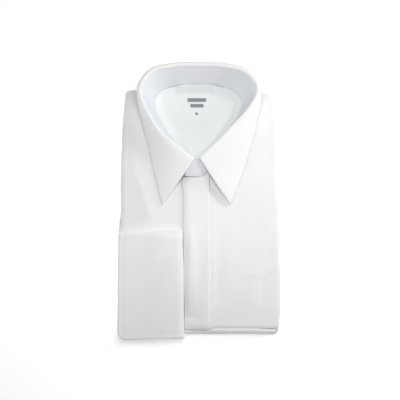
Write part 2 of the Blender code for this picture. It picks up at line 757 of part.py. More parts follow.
def cuff_point(ply, path):
    """Middle of the cuff's cloth.

    ply runs from 0 at the free edge over the outer ply to the fold at 0.5 and back along the
    inner ply to 1. path runs from 0 at the opening edge over the top half to the crease at 0.5
    and back under it to 1.
    """
    pitch = CUFF_WALL + CUFF_PLY_GAP
    low_part = 0.5 - CUFF_CREASE_PART
    high_part = 0.5 + CUFF_CREASE_PART
    if path < low_part:
        along = path / low_part
        turn = 0.0
    elif path > high_part:
        along = (1.0 - path) / (1.0 - high_part)
        turn = math.pi
    else:
        along = 1.0
        turn = math.pi * (path - low_part) / (high_part - low_part)
    under = smooth(turn / math.pi)
    fold_x = blend(CUFF_FOLD_X[1], CUFF_FOLD_X[0], along) - CUFF_UNDER_FOLD * under
    bulge = blend(CUFF_BULGE[1], CUFF_BULGE[0], smooth(along)) * (1.0 - under)
    outer_x = blend(CUFF_FREE_X, CUFF_UNDER_X, under)
    inner_x = blend(CUFF_INNER_X, CUFF_UNDER_X, under)
    length = CUFF_CREASE_Y[0] - CUFF_OPEN_Y[0]
    from_edge = along * length
    if from_edge < CUFF_CORNER:
        outer_x += CUFF_CORNER - math.sqrt(CUFF_CORNER ** 2 - (CUFF_CORNER - from_edge) ** 2)
    flat_part = 0.5 - CUFF_FOLD_PART
    if ply < flat_part:
        x = blend(outer_x, fold_x - pitch, ply / flat_part)
        offset = pitch / 2.0
    elif ply > 1.0 - flat_part:
        x = blend(inner_x, fold_x - pitch, (1.0 - ply) / flat_part)
        offset = -pitch / 2.0
    else:
        bend = math.pi * (ply - flat_part) / (2.0 * CUFF_FOLD_PART)
        x = fold_x - pitch + pitch * math.sin(bend)
        offset = 0.5 * pitch * math.cos(bend)
    near = math.exp(-((fold_x - x) / CUFF_BULGE_REACH) ** 2)
    offset *= 1.0 + 2.0 * bulge * near / pitch
    raise_by = bulge * near
    across = (x - CUFF_FREE_X) / (CUFF_FOLD_X[0] - CUFF_FREE_X)
    crease_y = blend(CUFF_CREASE_Y[0], CUFF_CREASE_Y[1], across) - pitch
    open_y = blend(CUFF_OPEN_Y[0], CUFF_OPEN_Y[1], across)
    y = blend(open_y, crease_y, along) + (pitch + offset) * math.sin(turn)
    middle = 2.0 * CUFF_WALL + 1.5 * CUFF_PLY_GAP
    z = cuff_seat(x, y) + middle + (pitch + offset) * math.cos(turn) + raise_by
    return np.array((x, y, z))


def add_cuff():
    """Turned-back double cuff: one cloth folded at the wrist and along its crease."""
    flat = 0.5 - CUFF_FOLD_PART
    plies = [flat * i / 6 for i in range(7)]
    plies += [flat + 2.0 * CUFF_FOLD_PART * i / 5 for i in range(1, 6)]
    plies += [1.0 - flat * i / 4 for i in range(3, -1, -1)]
    flat = 0.5 - CUFF_CREASE_PART
    paths = [0.0, 0.004, 0.012, 0.028]      # close lines round the corner of the free edge
    paths += [blend(0.055, flat, i / 7) for i in range(8)]
    paths += [flat + 2.0 * CUFF_CREASE_PART * i / 5 for i in range(1, 6)]
    paths += [1.0 - flat * i / 5 for i in range(4, -1, -1)]
    grid = [[cuff_point(ply, path) for path in paths] for ply in plies]
    return add_sheet("cuff", np.array(grid), CUFF_WALL)


def add_sleeve():
    """End of the sleeve, from inside the cuff round the side fold to the floor."""
    lines = []
    y_low, y_high = SLEEVE_Y
    turns = [-1.0, -0.5] + [i / SLEEVE_ROLL_LINES for i in range(SLEEVE_ROLL_LINES + 1)]
    for i in range(SLEEVE_LINES + 1):
        line = []
        for turn in turns:
            flare = SLEEVE_FLARE * smooth(turn)
            y = blend(y_low + SLEEVE_FLARE_LOW * flare, y_high + flare, i / SLEEVE_LINES)
            x_side = -half_width(y, -1.0)
            start = cuff_seat(x_side, y) + SLEEVE_LIFT
            if turn <= 0.0:
                x = blend(x_side, SLEEVE_START_X, -turn)
                height = blend(start, cuff_seat(x, y) + SLEEVE_LIFT, -turn)
                line.append(np.array((x, y, height)))
                continue
            angle = math.radians(SLEEVE_TURN) * turn
            half = (start - SLEEVE_FOOT) / 2.0
            line.append(np.array((x_side - SLEEVE_REACH * math.sin(angle), y,
                                  SLEEVE_FOOT + half + half * math.cos(angle))))
        lines.append(line)
    return add_sheet("sleeve", np.array(lines), SLEEVE_WALL)


def main():
    """Build the shirt."""
    clear_scene()
    add_folded_layers()
    add_fronts()
    add_placket()
    add_yoke()
    add_yoke_lining()
    add_collar_stand()
    add_collar_leaf()
    add_cuff()
    add_sleeve()


main()
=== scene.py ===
"""Looks of a folded long sleeve dress shirt: fine cloth for every piece, its stitches and a studio.

Sizes and places are in millimetres in the part's own frame, and become metres when a mesh is made.
The shirt lies on its back on z = 0, with +X to the right as it is looked at, +Y from the hem fold
to the collar and +Z up. Left and right in names are the wearer's, so the right front is at -X.
"""

import logging
import math
from dataclasses import dataclass, field
from enum import Enum

import bpy
import numpy as np
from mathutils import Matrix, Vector
from numpy.typing import NDArray


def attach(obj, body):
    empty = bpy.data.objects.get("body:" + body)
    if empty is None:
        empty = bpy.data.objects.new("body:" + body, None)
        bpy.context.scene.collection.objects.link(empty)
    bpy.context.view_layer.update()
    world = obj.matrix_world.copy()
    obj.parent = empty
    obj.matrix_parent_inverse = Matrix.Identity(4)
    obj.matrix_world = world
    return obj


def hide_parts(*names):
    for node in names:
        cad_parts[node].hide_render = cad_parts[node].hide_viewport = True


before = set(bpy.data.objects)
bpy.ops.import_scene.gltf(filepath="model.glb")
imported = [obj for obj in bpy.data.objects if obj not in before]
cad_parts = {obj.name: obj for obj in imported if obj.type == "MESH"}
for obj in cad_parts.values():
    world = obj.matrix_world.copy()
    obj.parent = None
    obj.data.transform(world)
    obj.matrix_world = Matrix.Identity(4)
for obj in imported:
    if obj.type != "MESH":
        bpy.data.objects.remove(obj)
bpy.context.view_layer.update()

Array = NDArray[np.float64]
Numbers = NDArray[np.int64]
Reach = float | Array
Pair = tuple[float, float]
Triple = tuple[float, float, float]
Rows = tuple[tuple[float, ...], ...]
Line = tuple[Array, Array]      # points, and the outward direction at each one

LOG = logging.getLogger("dress_shirt")
MM = 0.001
ROOT = "root"

# Cloth walls, and the gap between pieces that touch or are sewn together
PANEL_WALL = 1.6
LINING_WALL = 1.2
COLLAR_WALL = 1.8
CUFF_WALL = 1.1
SLEEVE_WALL = 1.2
PLACKET_WALL = 2.2
GAP = 0.3
ON_PANEL = PANEL_WALL + 2.0 * GAP
RIM_ROUND = 0.42        # how far the rim of a wall bulges, as a part of its thickness
RIDGE_RADIUS = 1.8      # how tightly the collar folds at its ridge
LAP_RISE = PANEL_WALL + 0.4     # how much higher the left front lies on the right one
LAP_X = (8.0, 22.0)     # where it comes down beside it
SHOULDER_IN = 1.5       # how far the shoulder seams lie before the top fold at the side folds

# Folded body: y, half width at -X, half width at +X, height at the centre, height at the fold
BODY_ROWS = (
    (-158.0, 92.5, 93.0, 12.5, 10.5),
    (-140.0, 93.0, 94.5, 15.5, 12.0),
    (-110.0, 93.5, 95.0, 19.5, 14.0),
    (-70.0, 94.0, 95.2, 22.8, 15.5),
    (-10.0, 94.0, 95.0, 23.5, 16.0),
    (50.0, 94.0, 94.5, 22.0, 15.5),
    (100.0, 93.0, 93.5, 19.0, 14.0),
    (144.0, 90.0, 91.5, 16.0, 12.5),
    (160.0, 88.0, 90.0, 14.5, 11.5),
)

# Collar: section, ridge x y z, seam x y, leaf edge x y z, from the front end at -X round the back
RIDGE = slice(1, 4)
SEAM = slice(4, 6)
EDGE = slice(6, 9)
COLLAR_ROWS = (
    (0, -7.0, 47.5, 45.0, -7.0, 36.5, -48.5, -8.0, 27.0),
    (1, -30.0, 65.5, 48.0, -23.0, 60.0, -57.5, 31.0, 25.2),
    (2, -50.8, 84.0, 50.5, -41.0, 87.0, -66.0, 69.0, 22.8),
    (3, -65.5, 106.0, 53.0, -54.0, 110.0, -74.5, 101.0, 20.4),
    (4, -76.5, 131.0, 54.5, -60.0, 131.0, -81.0, 130.0, 18.2),
    (5, -74.5, 149.5, 54.5, -56.0, 144.0, -79.5, 153.5, 15.5),
    (6, -59.5, 167.0, 53.0, -44.0, 152.0, -64.0, 173.5, 11.5),
    (7, -32.0, 174.0, 51.5, -24.0, 156.0, -34.0, 179.0, 9.5),
    (8, -3.0, 175.0, 51.0, -3.0, 156.5, -3.0, 180.0, 9.0),
    (9, 27.0, 174.0, 51.5, 18.0, 156.0, 29.0, 179.0, 9.5),
    (10, 55.0, 167.5, 53.0, 38.0, 152.0, 59.5, 173.5, 11.5),
    (11, 73.0, 151.5, 54.5, 51.0, 144.0, 78.5, 155.0, 15.5),
    (12, 75.5, 133.5, 54.5, 57.0, 131.0, 81.5, 132.0, 18.2),
    (13, 62.5, 111.0, 53.0, 51.0, 111.0, 75.5, 101.0, 20.6),
    (14, 45.0, 92.0, 51.0, 38.0, 89.0, 67.5, 69.0, 23.2),
    (15, 22.5, 68.5, 48.0, 21.0, 56.0, 55.0, 30.0, 26.4),
    (16, 1.0, 48.5, 45.5, 6.5, 29.5, 40.5, -8.5, 29.5),
)
LAST_SECTION = len(COLLAR_ROWS) - 1

# Ends of the stand: top x y z, seam x y
END_TOP = slice(0, 3)
END_SEAM = slice(3, 5)
STAND_UNDER_END = ((-3.6, 49.5, 38.0, -3.6, 37.5),)
STAND_OVER_END = (
    (-8.5, 45.6, 43.0, -7.0, 28.0),
    (-17.5, 44.6, 41.0, -19.0, 28.8),
)

# Large soft folds of the fronts: from x y, to x y, width, height
FOLD_ROWS = (
    (95.0, -36.0, 72.0, -98.0, 15.0, 1.5),
    (72.0, -98.0, 64.0, -128.0, 13.0, 1.1),
    (84.0, 92.0, 66.0, 62.0, 13.0, 0.9),
    (-88.0, 60.0, -66.0, -20.0, 18.0, 0.9),
)

# Creases, troughs and ripples of the fronts, finer than the folds: the same columns
CREASE_ROWS = (
    (101.0, -40.0, 98.0, -72.0, 8.0, 1.10),
    (98.0, -72.0, 90.0, -97.0, 8.0, 1.20),
    (92.0, -66.0, 82.0, -92.0, 6.0, -0.50),
    (82.5, -102.0, 81.5, -134.0, 6.0, -1.00),
    (74.0, -94.0, 54.0, -100.0, 9.0, 0.45),
    (88.0, 92.0, 74.0, 76.0, 3.5, 0.55),
    (94.0, 74.0, 88.0, 50.0, 3.5, -0.50),
    (100.0, 62.0, 99.0, 20.0, 3.0, -0.45),
    (-84.0, 40.0, -62.0, -26.0, 6.0, 0.50),
    (-72.0, 96.0, -80.0, 60.0, 5.0, -0.40),
    (44.0, -20.0, 36.0, -110.0, 12.0, 0.45),
    (24.0, -60.0, 22.0, -140.0, 7.0, -0.35),
)

# Ripples of the fly, and of the inner yoke: the same columns
FLY_RIPPLE_ROWS = (
    (-10.5, -42.0, -11.0, -84.0, 3.5, 0.25),
    (3.5, -60.0, 4.5, -126.0, 3.4, -0.20),
    (-6.0, -122.0, 2.0, -154.0, 3.0, 0.20),
    (9.0, -124.0, 3.0, -154.0, 3.0, 0.18),
    (-1.5, -96.0, -1.0, -146.0, 3.2, -0.16),
    (-12.5, 24.0, -12.0, -30.0, 4.0, 0.15),
)
YOKE_RIPPLE_ROWS = (
    (-30.0, 128.0, 18.0, 60.0, 10.0, 0.35),
    (40.0, 120.0, 6.0, 70.0, 9.0, 0.30),
)

# Edges of the hidden layers from under the top fold to the floor: step out and height at the
# sides, step out and height at the hem
STACK_ROWS = (
    (-9.0, 6.9, -9.0, 6.9),
    (-9.2, 6.45, -5.75, 6.7),
    (-2.8, 6.40, -5.30, 9.3),
    (-1.9, 5.95, -5.20, 10.3),
    (-2.7, 5.45, -2.6, 9.6),
    (-4.8, 5.25, -1.4, 9.2),
    (-1.0, 4.95, -0.4, 8.2),
    (0.2, 4.35, -1.2, 7.5),
    (-0.8, 3.75, -0.6, 7.0),
    (-3.2, 3.55, -0.1, 6.0),
    (-2.1, 3.35, -0.4, 5.2),
    (-1.3, 2.85, -1.0, 4.9),
    (-2.2, 2.30, 0.0, 4.6),
    (-3.8, 2.15, 0.2, 3.7),
    (-1.2, 1.95, -0.3, 2.9),
    (-0.4, 1.20, -0.9, 2.6),
    (-1.1, 0.45, -0.2, 1.3),
    (-2.6, 0.0, -2.6, 0.0),
)
HEM_LEDGE = 5.6         # how far the lower layers stand out past the top fold at the hem


class Held(Enum):
    """How a piece of cloth is held."""

    LAID = "laid"
    FOLDED = "folded"


class Slot(Enum):
    """Finish slots of the part's record."""

    POPLIN = "poplin"
    INSIDE = "poplin_inside"
    COLLAR = "collar_cloth"
    CUFF = "cuff_cloth"


class Side(Enum):
    """Side of the folded body, as the sign of x."""

    RIGHT = -1.0
    LEFT = 1.0


def smooth(t: Reach) -> Array:
    """Soft step from 0 to 1."""
    t = np.clip(t, 0.0, 1.0)
    return t * t * (3.0 - 2.0 * t)


def step_between(low: float, high: float, value: Reach) -> Array:
    """Soft step that is 0 at low and 1 at high."""
    return smooth((np.asarray(value, float) - low) / (high - low))


def hump(value: Reach, middle: Reach, width: float) -> Array:
    """Soft hump of height 1 at a middle value."""
    return np.exp(-((np.asarray(value, float) - middle) / width) ** 2)


def blend(low: Reach, high: Reach, t: Reach) -> Array:
    """Value between two others."""
    return low + (high - low) * np.asarray(t, float)


def unit(vectors: Array) -> Array:
    """Vectors of length 1 along the last axis."""
    return vectors / np.maximum(np.linalg.norm(vectors, axis=-1, keepdims=True), 1e-9)


def linear(hex_colour: str) -> tuple[float, ...]:
    """Turn an sRGB hex value to a linear colour.

    Args:
        hex_colour: Six hex digits.

    Returns:
        Red, green, blue and an alpha of 1.
    """
    channels = (int(hex_colour[i:i + 2], 16) / 255.0 for i in (0, 2, 4))
    return *(c / 12.92 if c <= 0.04045 else ((c + 0.055) / 1.055) ** 2.4 for c in channels), 1.0


def soft_noise(x: Reach, y: Reach, size: float, seed: int) -> Array:
    """Smooth unevenness between -1 and 1.

    Args:
        x: First coordinate in millimetres.
        y: Second coordinate in millimetres.
        size: Distance between its humps in millimetres.
        seed: Number that sets the pattern.

    Returns:
        The unevenness at each place.
    """
    count = 64
    lattice = np.random.default_rng(seed).uniform(-1.0, 1.0, (count, count))
    u, v = np.broadcast_arrays(np.asarray(x, float) / size, np.asarray(y, float) / size)
    i, j = np.floor(u).astype(int), np.floor(v).astype(int)
    s, t = smooth(u - i), smooth(v - j)
    low, high = (blend(lattice[i % count, k % count], lattice[(i + 1) % count, k % count], s)
                 for k in (j, j + 1))
    return blend(low, high, t)


def steps_through(numbers: tuple[int, ...] | Numbers, knots: tuple[float, ...]) -> Array:
    """Values from knot to knot in even steps, where each knot has its step's number."""
    return np.interp(np.arange(numbers[-1] + 1), numbers, knots)


@dataclass(frozen=True)
class Uneven:
    """Soft unevenness of a cloth, in millimetres."""

    height: float
    size: float     # distance between its humps
    seed: int

    def at(self, x: Reach, y: Reach) -> Array:
        """Height of the unevenness at places."""
        return self.height * soft_noise(x, y, self.size, self.seed)


def beside(x: Reach, y: Reach, start: Array, finish: Array) -> tuple[Array, Array]:
    """Where places lie beside a straight run.

    Args:
        x: Places in x.
        y: Places in y.
        start: Where the run starts.
        finish: Where it ends.

    Returns:
        Part of the way along the run, under 0 before it and over 1 after it, and distance from it.
    """
    run_x, run_y = finish[0] - start[0], finish[1] - start[1]
    x, y = np.asarray(x, float) - start[0], np.asarray(y, float) - start[1]
    along = (x * run_x + y * run_y) / (run_x ** 2 + run_y ** 2)
    near = np.clip(along, 0.0, 1.0)
    return along, np.hypot(x - near * run_x, y - near * run_y)


def ridge_section(away: Array, width: float) -> Array:
    """Height of a soft ridge at distances from its line, as a part of its full height."""
    return np.exp(-2.5 * (away / width) ** 2)


def ridges(rows: Rows, x: Reach, y: Reach, ease: float) -> Array:
    """Sum of soft ridges and troughs at places on the cloth.

    Args:
        rows: From x and y, to x and y, width and height of each.
        x: Places in x.
        y: Places in y.
        ease: How softly each one starts and ends, as a part of its length.

    Returns:
        Their height.
    """
    total = 0.0
    for x0, y0, x1, y1, width, height in rows:
        along, away = beside(x, y, (x0, y0), (x1, y1))
        ends = smooth((along + ease) / (2.0 * ease)) * smooth((1.0 + ease - along) / (2.0 * ease))
        total = total + height * ridge_section(away, width) * ends
    return total


def fold_height(x: Reach, y: Reach) -> Array:
    """Height of the highest large soft fold at places on the fronts."""
    return np.max([height * ridge_section(beside(x, y, (x0, y0), (x1, y1))[1], width)
                   for x0, y0, x1, y1, width, height in FOLD_ROWS], axis=0)


def curve_between(start: Array, leave: Array, finish: Array, arrive: Array, t: Reach) -> Array:
    """Smooth curve between two points.

    Args:
        start: First point.
        leave: Direction and speed there.
        finish: Last point.
        arrive: Direction and speed there.
        t: Part of the way.

    Returns:
        The point at each part.
    """
    t2, t3 = t * t, t * t * t
    return ((2 * t3 - 3 * t2 + 1) * start + (t3 - 2 * t2 + t) * leave
            + (3 * t2 - 2 * t3) * finish + (t3 - t2) * arrive)


@dataclass(frozen=True)
class Curves:
    """Smooth curves through the rows of a table, whose first column is the place."""

    rows: Rows | Array

    def at(self, place: Reach) -> Array:
        """Read the table.

        Args:
            place: Values of the first column.

        Returns:
            Every column at each place, along the last axis.
        """
        rows = np.asarray(self.rows, float)
        knots, last = rows[:, 0], len(rows) - 1
        place = np.clip(np.asarray(place, float), knots[0], knots[last])
        k = np.clip(np.searchsorted(knots, place, side="right") - 1, 0, last - 1)
        before = np.maximum(np.arange(last + 1) - 1, 0)
        after = np.minimum(np.arange(last + 1) + 1, last)
        slopes = (rows[after] - rows[before]) / (knots[after] - knots[before])[:, None]
        span = (knots[k + 1] - knots[k])[..., None]
        return curve_between(rows[k], span * slopes[k], rows[k + 1], span * slopes[k + 1],
                             (place - knots[k])[..., None] / span)


COLLAR = Curves(COLLAR_ROWS)


@dataclass(frozen=True)
class Places:
    """Places on the folded body, from which the cloth may go on round its folds."""

    x: Reach
    y: Reach
    side: Reach = 0.0       # part of the half turn round the side fold, signed towards +X or -X
    end: Reach = 0.0        # the same round an end fold, signed towards +Y or -Y

    def turned(self) -> Array:
        """Part of the turn, whichever fold it goes round."""
        return np.maximum(np.abs(self.side), np.abs(self.end))


@dataclass(frozen=True)
class Neck:
    """The seam under the collar stand, and how the stand lifts the panels along it."""

    rise: float = 5.0
    reach: float = 24.0
    point_right: float = -60.0
    point_left: float = 57.0
    point_y: float = 131.5
    margin: float = 0.5

    def loop(self) -> Array:
        """Points of the seam as a closed ring."""
        return COLLAR.at(np.linspace(0, LAST_SECTION, 97))[:, SEAM]

    def distance(self, x: Reach, y: Reach) -> Array:
        """Distance of places from the seam."""
        runs = zip(self.loop(), np.roll(self.loop(), -1, axis=0))
        return np.min([beside(x, y, *run)[1] for run in runs], axis=0)

    def lift(self, x: Reach, y: Reach, turned: Reach = 0.0) -> Array:
        """How far the stand lifts the panels, fading round a fold."""
        near = 1.0 - smooth(self.distance(x, y) / self.reach)
        return self.rise * near * (1.0 - smooth(2.0 * turned))

    def line(self, first: float, last: float, ends: Rows = ()) -> Array:
        """Seam between two sections, in order of x, with the seam of the stand's lapped end."""
        points = [tuple(row[SEAM]) for row in COLLAR.at(np.linspace(first, last, 61))]
        return np.array(sorted(points + [row[END_SEAM] for row in ends]))

    def past(self, x: Reach) -> Array:
        """Part of the way from the neck point to the side fold."""
        neck = np.where(np.asarray(x) < 0.0, -self.point_right, self.point_left)
        return (np.abs(x) - neck) / (FoldedBody.nominal - neck)


@dataclass(frozen=True)
class FoldedBody:
    """The top of the folded shirt, which every panel lies on and rolls round."""

    nominal: float = 94.0
    straight: float = 60.0
    crown: float = 2.6
    hem_y: float = -158.0
    shoulder_y: float = 144.0
    bow: float = 14.0               # how much farther the top fold lies behind the neck
    bow_x: Pair = (32.0, 80.0)
    slope: float = 0.35             # how the top fold falls off at the +X shoulder
    slope_x: float = 76.0
    roll_reach: float = 7.0
    roll_foot: float = 7.5
    corner: float = 3.2             # how square the folds meet at the corners
    hollow_at: Pair = (-17.0, 15.0)         # middle and width of the hollow beside the cuff
    hollow_y: Pair = (-98.0, -150.0)
    hollow_depth: float = 3.3
    hollow_at_hem: float = 0.65
    sections: Curves = Curves(BODY_ROWS)

    def columns(self, pitch: float) -> Array:
        """Columns across the whole flat top, about a pitch apart."""
        return np.linspace(-self.nominal, self.nominal, round(2.0 * self.nominal / pitch) + 1)

    def half_width(self, y: Reach, side: Reach) -> Array:
        """Half width of the flat top on the side that the sign of side gives."""
        section = self.sections.at(y)
        return np.where(np.asarray(side) < 0.0, section[..., 1], section[..., 2])

    def hollow(self, x: Reach, y: Reach) -> Array:
        """Depth of the hollow beside the cuff."""
        fade = blend(1.0, self.hollow_at_hem, step_between(self.hollow_y[1], self.hem_y, y))
        return self.hollow_depth * hump(x, *self.hollow_at) * step_between(*self.hollow_y, y) * fade

    def top_height(self, x: Reach, y: Reach) -> Array:
        """Height of the folded layers' top over the floor.

        Args:
            x: Places in x.
            y: Places in y.

        Returns:
            The height.
        """
        centre, edge = np.moveaxis(self.sections.at(y), -1, 0)[3:]
        out = np.minimum(np.abs(x) / self.half_width(y, x), 1.0)
        return edge + (centre - edge) * (1.0 - out ** self.crown) - self.hollow(x, y)

    def top_fold_y(self, x: Reach) -> Array:
        """Where the top fold starts: bowed behind the neck, and sloped at the +X shoulder."""
        bow = self.bow * (1.0 - step_between(*self.bow_x, np.abs(x)))
        return self.shoulder_y + bow - self.slope * np.maximum(0.0, x - self.slope_x)

    def column_x(self, x: Reach, y: Reach) -> Array:
        """A column's x at y: straight near the centre, following the side fold farther out."""
        part = step_between(self.straight, self.nominal, np.abs(x))
        return x + np.sign(x) * (self.half_width(y, x) - self.nominal) * part

    def skin(self, at: Places, lift: Reach = 0.0) -> Array:
        """Points on the folded body, moved out by lift.

        Args:
            at: Places, where a fold starts if the cloth is turned there.
            lift: Distance out from the body.

        Returns:
            The points, with x, y and z along the last axis.
        """
        x, y, side, end, angle, lift = np.broadcast_arrays(*(np.asarray(value, float) for value in (
            at.x, at.y, at.side, at.end, math.pi * at.turned(), lift)))
        near = 0.5
        slope_x = self.top_height(x + near, y) - self.top_height(x - near, y)
        slope_y = self.top_height(x, y + near) - self.top_height(x, y - near)
        way_x, way_y = np.moveaxis(fold_way(side, end, self.corner), -1, 0)
        half = (self.top_height(x, y) - self.roll_foot) / 2.0
        up, out = np.cos(angle), self.roll_reach * np.sin(angle)
        level, push = np.maximum(up, 0.0), np.sin(angle) * half / self.roll_reach
        normal = np.stack((way_x * push - slope_x * level, way_y * push - slope_y * level, up), -1)
        place = np.stack((x + way_x * out, y + way_y * out, self.roll_foot + half + half * up), -1)
        return place + unit(normal) * lift[..., None]

    def line(self, x: Array, y: Array, lift: Array) -> Line:
        """Line at a height over the body, with the outward direction at each point."""
        points = self.skin(Places(x, y), lift)
        return points, self.skin(Places(x, y), lift + 1.0) - points


def fold_way(side: Array, end: Array, corner: float) -> Array:
    """Level directions out over the folds, which meet nearly square at the corners.

    Args:
        side: Part of the turn towards +X or -X.
        end: Part of the turn towards +Y or -Y.
        corner: How square they meet.

    Returns:
        The directions, with x and y along the last axis.
    """
    way = np.stack((side, end), axis=-1)
    size = (np.abs(way) ** corner).sum(axis=-1, keepdims=True)
    return way / np.maximum(size, 1e-12) ** (1.0 / corner)


BODY = FoldedBody()
NECK = Neck()
NECKLINES = {
    Side.RIGHT: NECK.line(0.0, 4.0, STAND_UNDER_END),
    Side.LEFT: NECK.line(12.0, 16.0, STAND_OVER_END),
}
BACK_NECKLINE = NECK.line(4.0, 12.0)


def shoulder_seam_y(x: Reach) -> Array:
    """Seam between a front and the yoke."""
    return blend(NECK.point_y, BODY.top_fold_y(x) - SHOULDER_IN, smooth(NECK.past(x)))


def lap_lift(x: Reach) -> Array:
    """Extra height of the left front where it laps over the right one."""
    return LAP_RISE * (1.0 - step_between(*LAP_X, x))


def round_folds(flat: Array, turn: float, steps: int, first: bool, last: bool) -> Line:
    """Carry a row of places on round the folds at its ends.

    Args:
        flat: Places on the flat top.
        turn: Part of the half turn that the cloth goes round.
        steps: Steps of the turn.
        first: Whether it goes round the fold before the first place.
        last: Whether it goes round the fold after the last one.

    Returns:
        The places, and the signed part of the turn at each one.
    """
    turns = np.linspace(0.0, turn, steps + 1)[1:]
    before = -turns[::-1] if first else turns[:0]
    after = math.copysign(1.0, flat[-1]) * turns if last else turns[:0]
    places = np.pad(flat, (len(before), len(after)), mode="edge")
    return places, np.concatenate((before, np.zeros(len(flat)), after))


def lay_out(across: Line, along: Line, low: Reach, high: Reach) -> Places:
    """Lay a grid of places out on the folded body.

    Args:
        across: Each column's x, and its part of the turn round a side fold.
        along: Part of the way up each column, and of the turn round an end fold.
        low: Where each column starts in y.
        high: Where it ends.

    Returns:
        The places, by column and line.
    """
    column, side = (values[:, None] for values in across)
    y = blend(np.reshape(low, (-1, 1)), np.reshape(high, (-1, 1)), along[0])
    return Places(BODY.column_x(column, y), y, *np.broadcast_arrays(side, along[1]))


def cloth_lengths(grid: Array) -> Array:
    """Lengths along both ways of a grid of cloth.

    Args:
        grid: Points by row and column.

    Returns:
        Length down the rows and across the columns at each point, in millimetres.
    """
    down, across = (np.linalg.norm(np.diff(grid, axis=k), axis=2).cumsum(axis=k) for k in (0, 1))
    return np.stack((np.pad(down, ((1, 0), (0, 0))), np.pad(across, ((0, 0), (1, 0)))), axis=2)


def grid_quads(rows: int, columns: int) -> Numbers:
    """Quads of a grid whose points are numbered row by row."""
    a = np.arange(rows * columns).reshape(rows, columns)[:-1, :-1].ravel()
    return np.stack((a, a + 1, a + columns + 1, a + columns), axis=1)


def grid_rim(rows: int, columns: int) -> tuple[Numbers, Numbers, Numbers]:
    """Border points of a grid, in order round it.

    Args:
        rows: Rows of the grid.
        columns: Its columns.

    Returns:
        Their numbers, rows and columns.
    """
    a = np.arange(rows * columns).reshape(rows, columns)
    rim = np.concatenate((a[0], a[1:, -1], a[-1, -2::-1], a[-2:0:-1, 0]))
    return rim, rim // columns, rim % columns


def normals(grid: Array) -> Array:
    """Unit normals of a grid of points."""
    return unit(np.cross(np.gradient(grid, axis=0), np.gradient(grid, axis=1)))


def add_node(tree: bpy.types.NodeTree, kind: str, inputs: dict[str, object] | None = None,
             **settings: object) -> bpy.types.Node:
    """Add a node with its settings, values and links.

    Args:
        tree: Node tree that it goes into.
        kind: Blender's name of the node type.
        inputs: Value, or the output to link, for each named or numbered input.
        **settings: Attributes of the node.

    Returns:
        The node.
    """
    node = tree.nodes.new(kind)
    for setting, value in settings.items():
        setattr(node, setting, value)
    for socket, value in (inputs or {}).items():
        if isinstance(value, bpy.types.NodeSocket):
            tree.links.new(value, node.inputs[socket])
        else:
            node.inputs[socket].default_value = value
    return node


@dataclass(frozen=True)
class Finish:
    """A matt finish of two close tones with a fine relief."""

    name: str
    light: str
    dark: str
    roughness: float

    def pattern(self, tree: bpy.types.NodeTree) -> dict[str, object]:
        """Add the nodes of the tones and the relief, and give their outputs and other inputs."""
        raise NotImplementedError

    def material(self) -> bpy.types.Material:
        """Make the material once, and give it again after that.

        Returns:
            The material.
        """
        made = bpy.data.materials.get(self.name)
        if made:
            return made
        made = bpy.data.materials.new(self.name)
        made.use_nodes = True
        tree = made.node_tree
        tree.nodes.clear()
        inputs = self.pattern(tree)
        colour = add_node(tree, "ShaderNodeMix",
                          {0: inputs.pop("Tone"), 6: linear(self.dark), 7: linear(self.light)},
                          data_type="RGBA").outputs[2]
        shader = add_node(tree, "ShaderNodeBsdfPrincipled",
                          {"Base Color": colour, "Roughness": self.roughness, "Metallic": 0.0,
                           **inputs})
        add_node(tree, "ShaderNodeOutputMaterial", {"Surface": shader.outputs["BSDF"]})
        return made


@dataclass(frozen=True)
class CottonPoplin(Finish):
    """Plain woven cotton: warp and weft threads, faint slubs and uneven whiteness."""

    roughness: float = 0.82
    sheen: float = 0.12
    relief: float = 0.035
    thread: float = 0.55    # poplin's threads are 0.2 mm apart: drawn coarser, so that they show
    slub: float = 7.0       # thicker stretches of thread
    mottle: float = 46.0    # soft patches where the cloth was pressed

    def pattern(self, tree: bpy.types.NodeTree) -> dict[str, object]:
        """Add the threads, slubs and patches.

        Args:
            tree: Node tree that they go into.

        Returns:
            The tone's factor and what goes into the shader.
        """
        cloth = add_node(tree, "ShaderNodeTexCoord").outputs["UV"]
        turn = 2.0 * math.pi / 20.0     # a wave texture of scale 1 repeats every 0.1 pi
        waves = [add_node(tree, "ShaderNodeTexWave",
                          {"Vector": cloth, "Scale": turn / (self.thread * MM), "Distortion": 0.6,
                           "Detail": 1.0, "Detail Scale": 1.5},
                          wave_type="BANDS", bands_direction=way).outputs["Fac"]
                 for way in ("X", "Y")]
        weave = add_node(tree, "ShaderNodeMath", dict(enumerate(waves)), operation="MULTIPLY")
        stretched = add_node(tree, "ShaderNodeMapping",
                             {"Vector": cloth, "Scale": (1.0, 0.16, 1.0)})
        slubs = add_node(tree, "ShaderNodeTexNoise",
                         {"Vector": stretched.outputs["Vector"], "Scale": 1.0 / (self.slub * MM),
                          "Detail": 3.0, "Roughness": 0.6})
        patches = add_node(tree, "ShaderNodeTexNoise",
                           {"Vector": cloth, "Scale": 1.0 / (self.mottle * MM), "Detail": 2.0,
                            "Roughness": 0.5})
        tone = add_node(tree, "ShaderNodeMapRange",
                        {"Value": patches.outputs["Fac"], "From Min": 0.3, "From Max": 0.7})
        uneven = add_node(tree, "ShaderNodeBump",
                          {"Height": slubs.outputs["Fac"], "Strength": 0.35,
                           "Distance": 0.12 * MM})
        bump = add_node(tree, "ShaderNodeBump",
                        {"Height": weave.outputs[0], "Strength": 0.6,
                         "Distance": self.relief * MM, "Normal": uneven.outputs["Normal"]})
        return {"Tone": tone.outputs[0], "Normal": bump.outputs["Normal"], "IOR": 1.46,
                "Sheen Weight": self.sheen, "Sheen Roughness": 0.5}


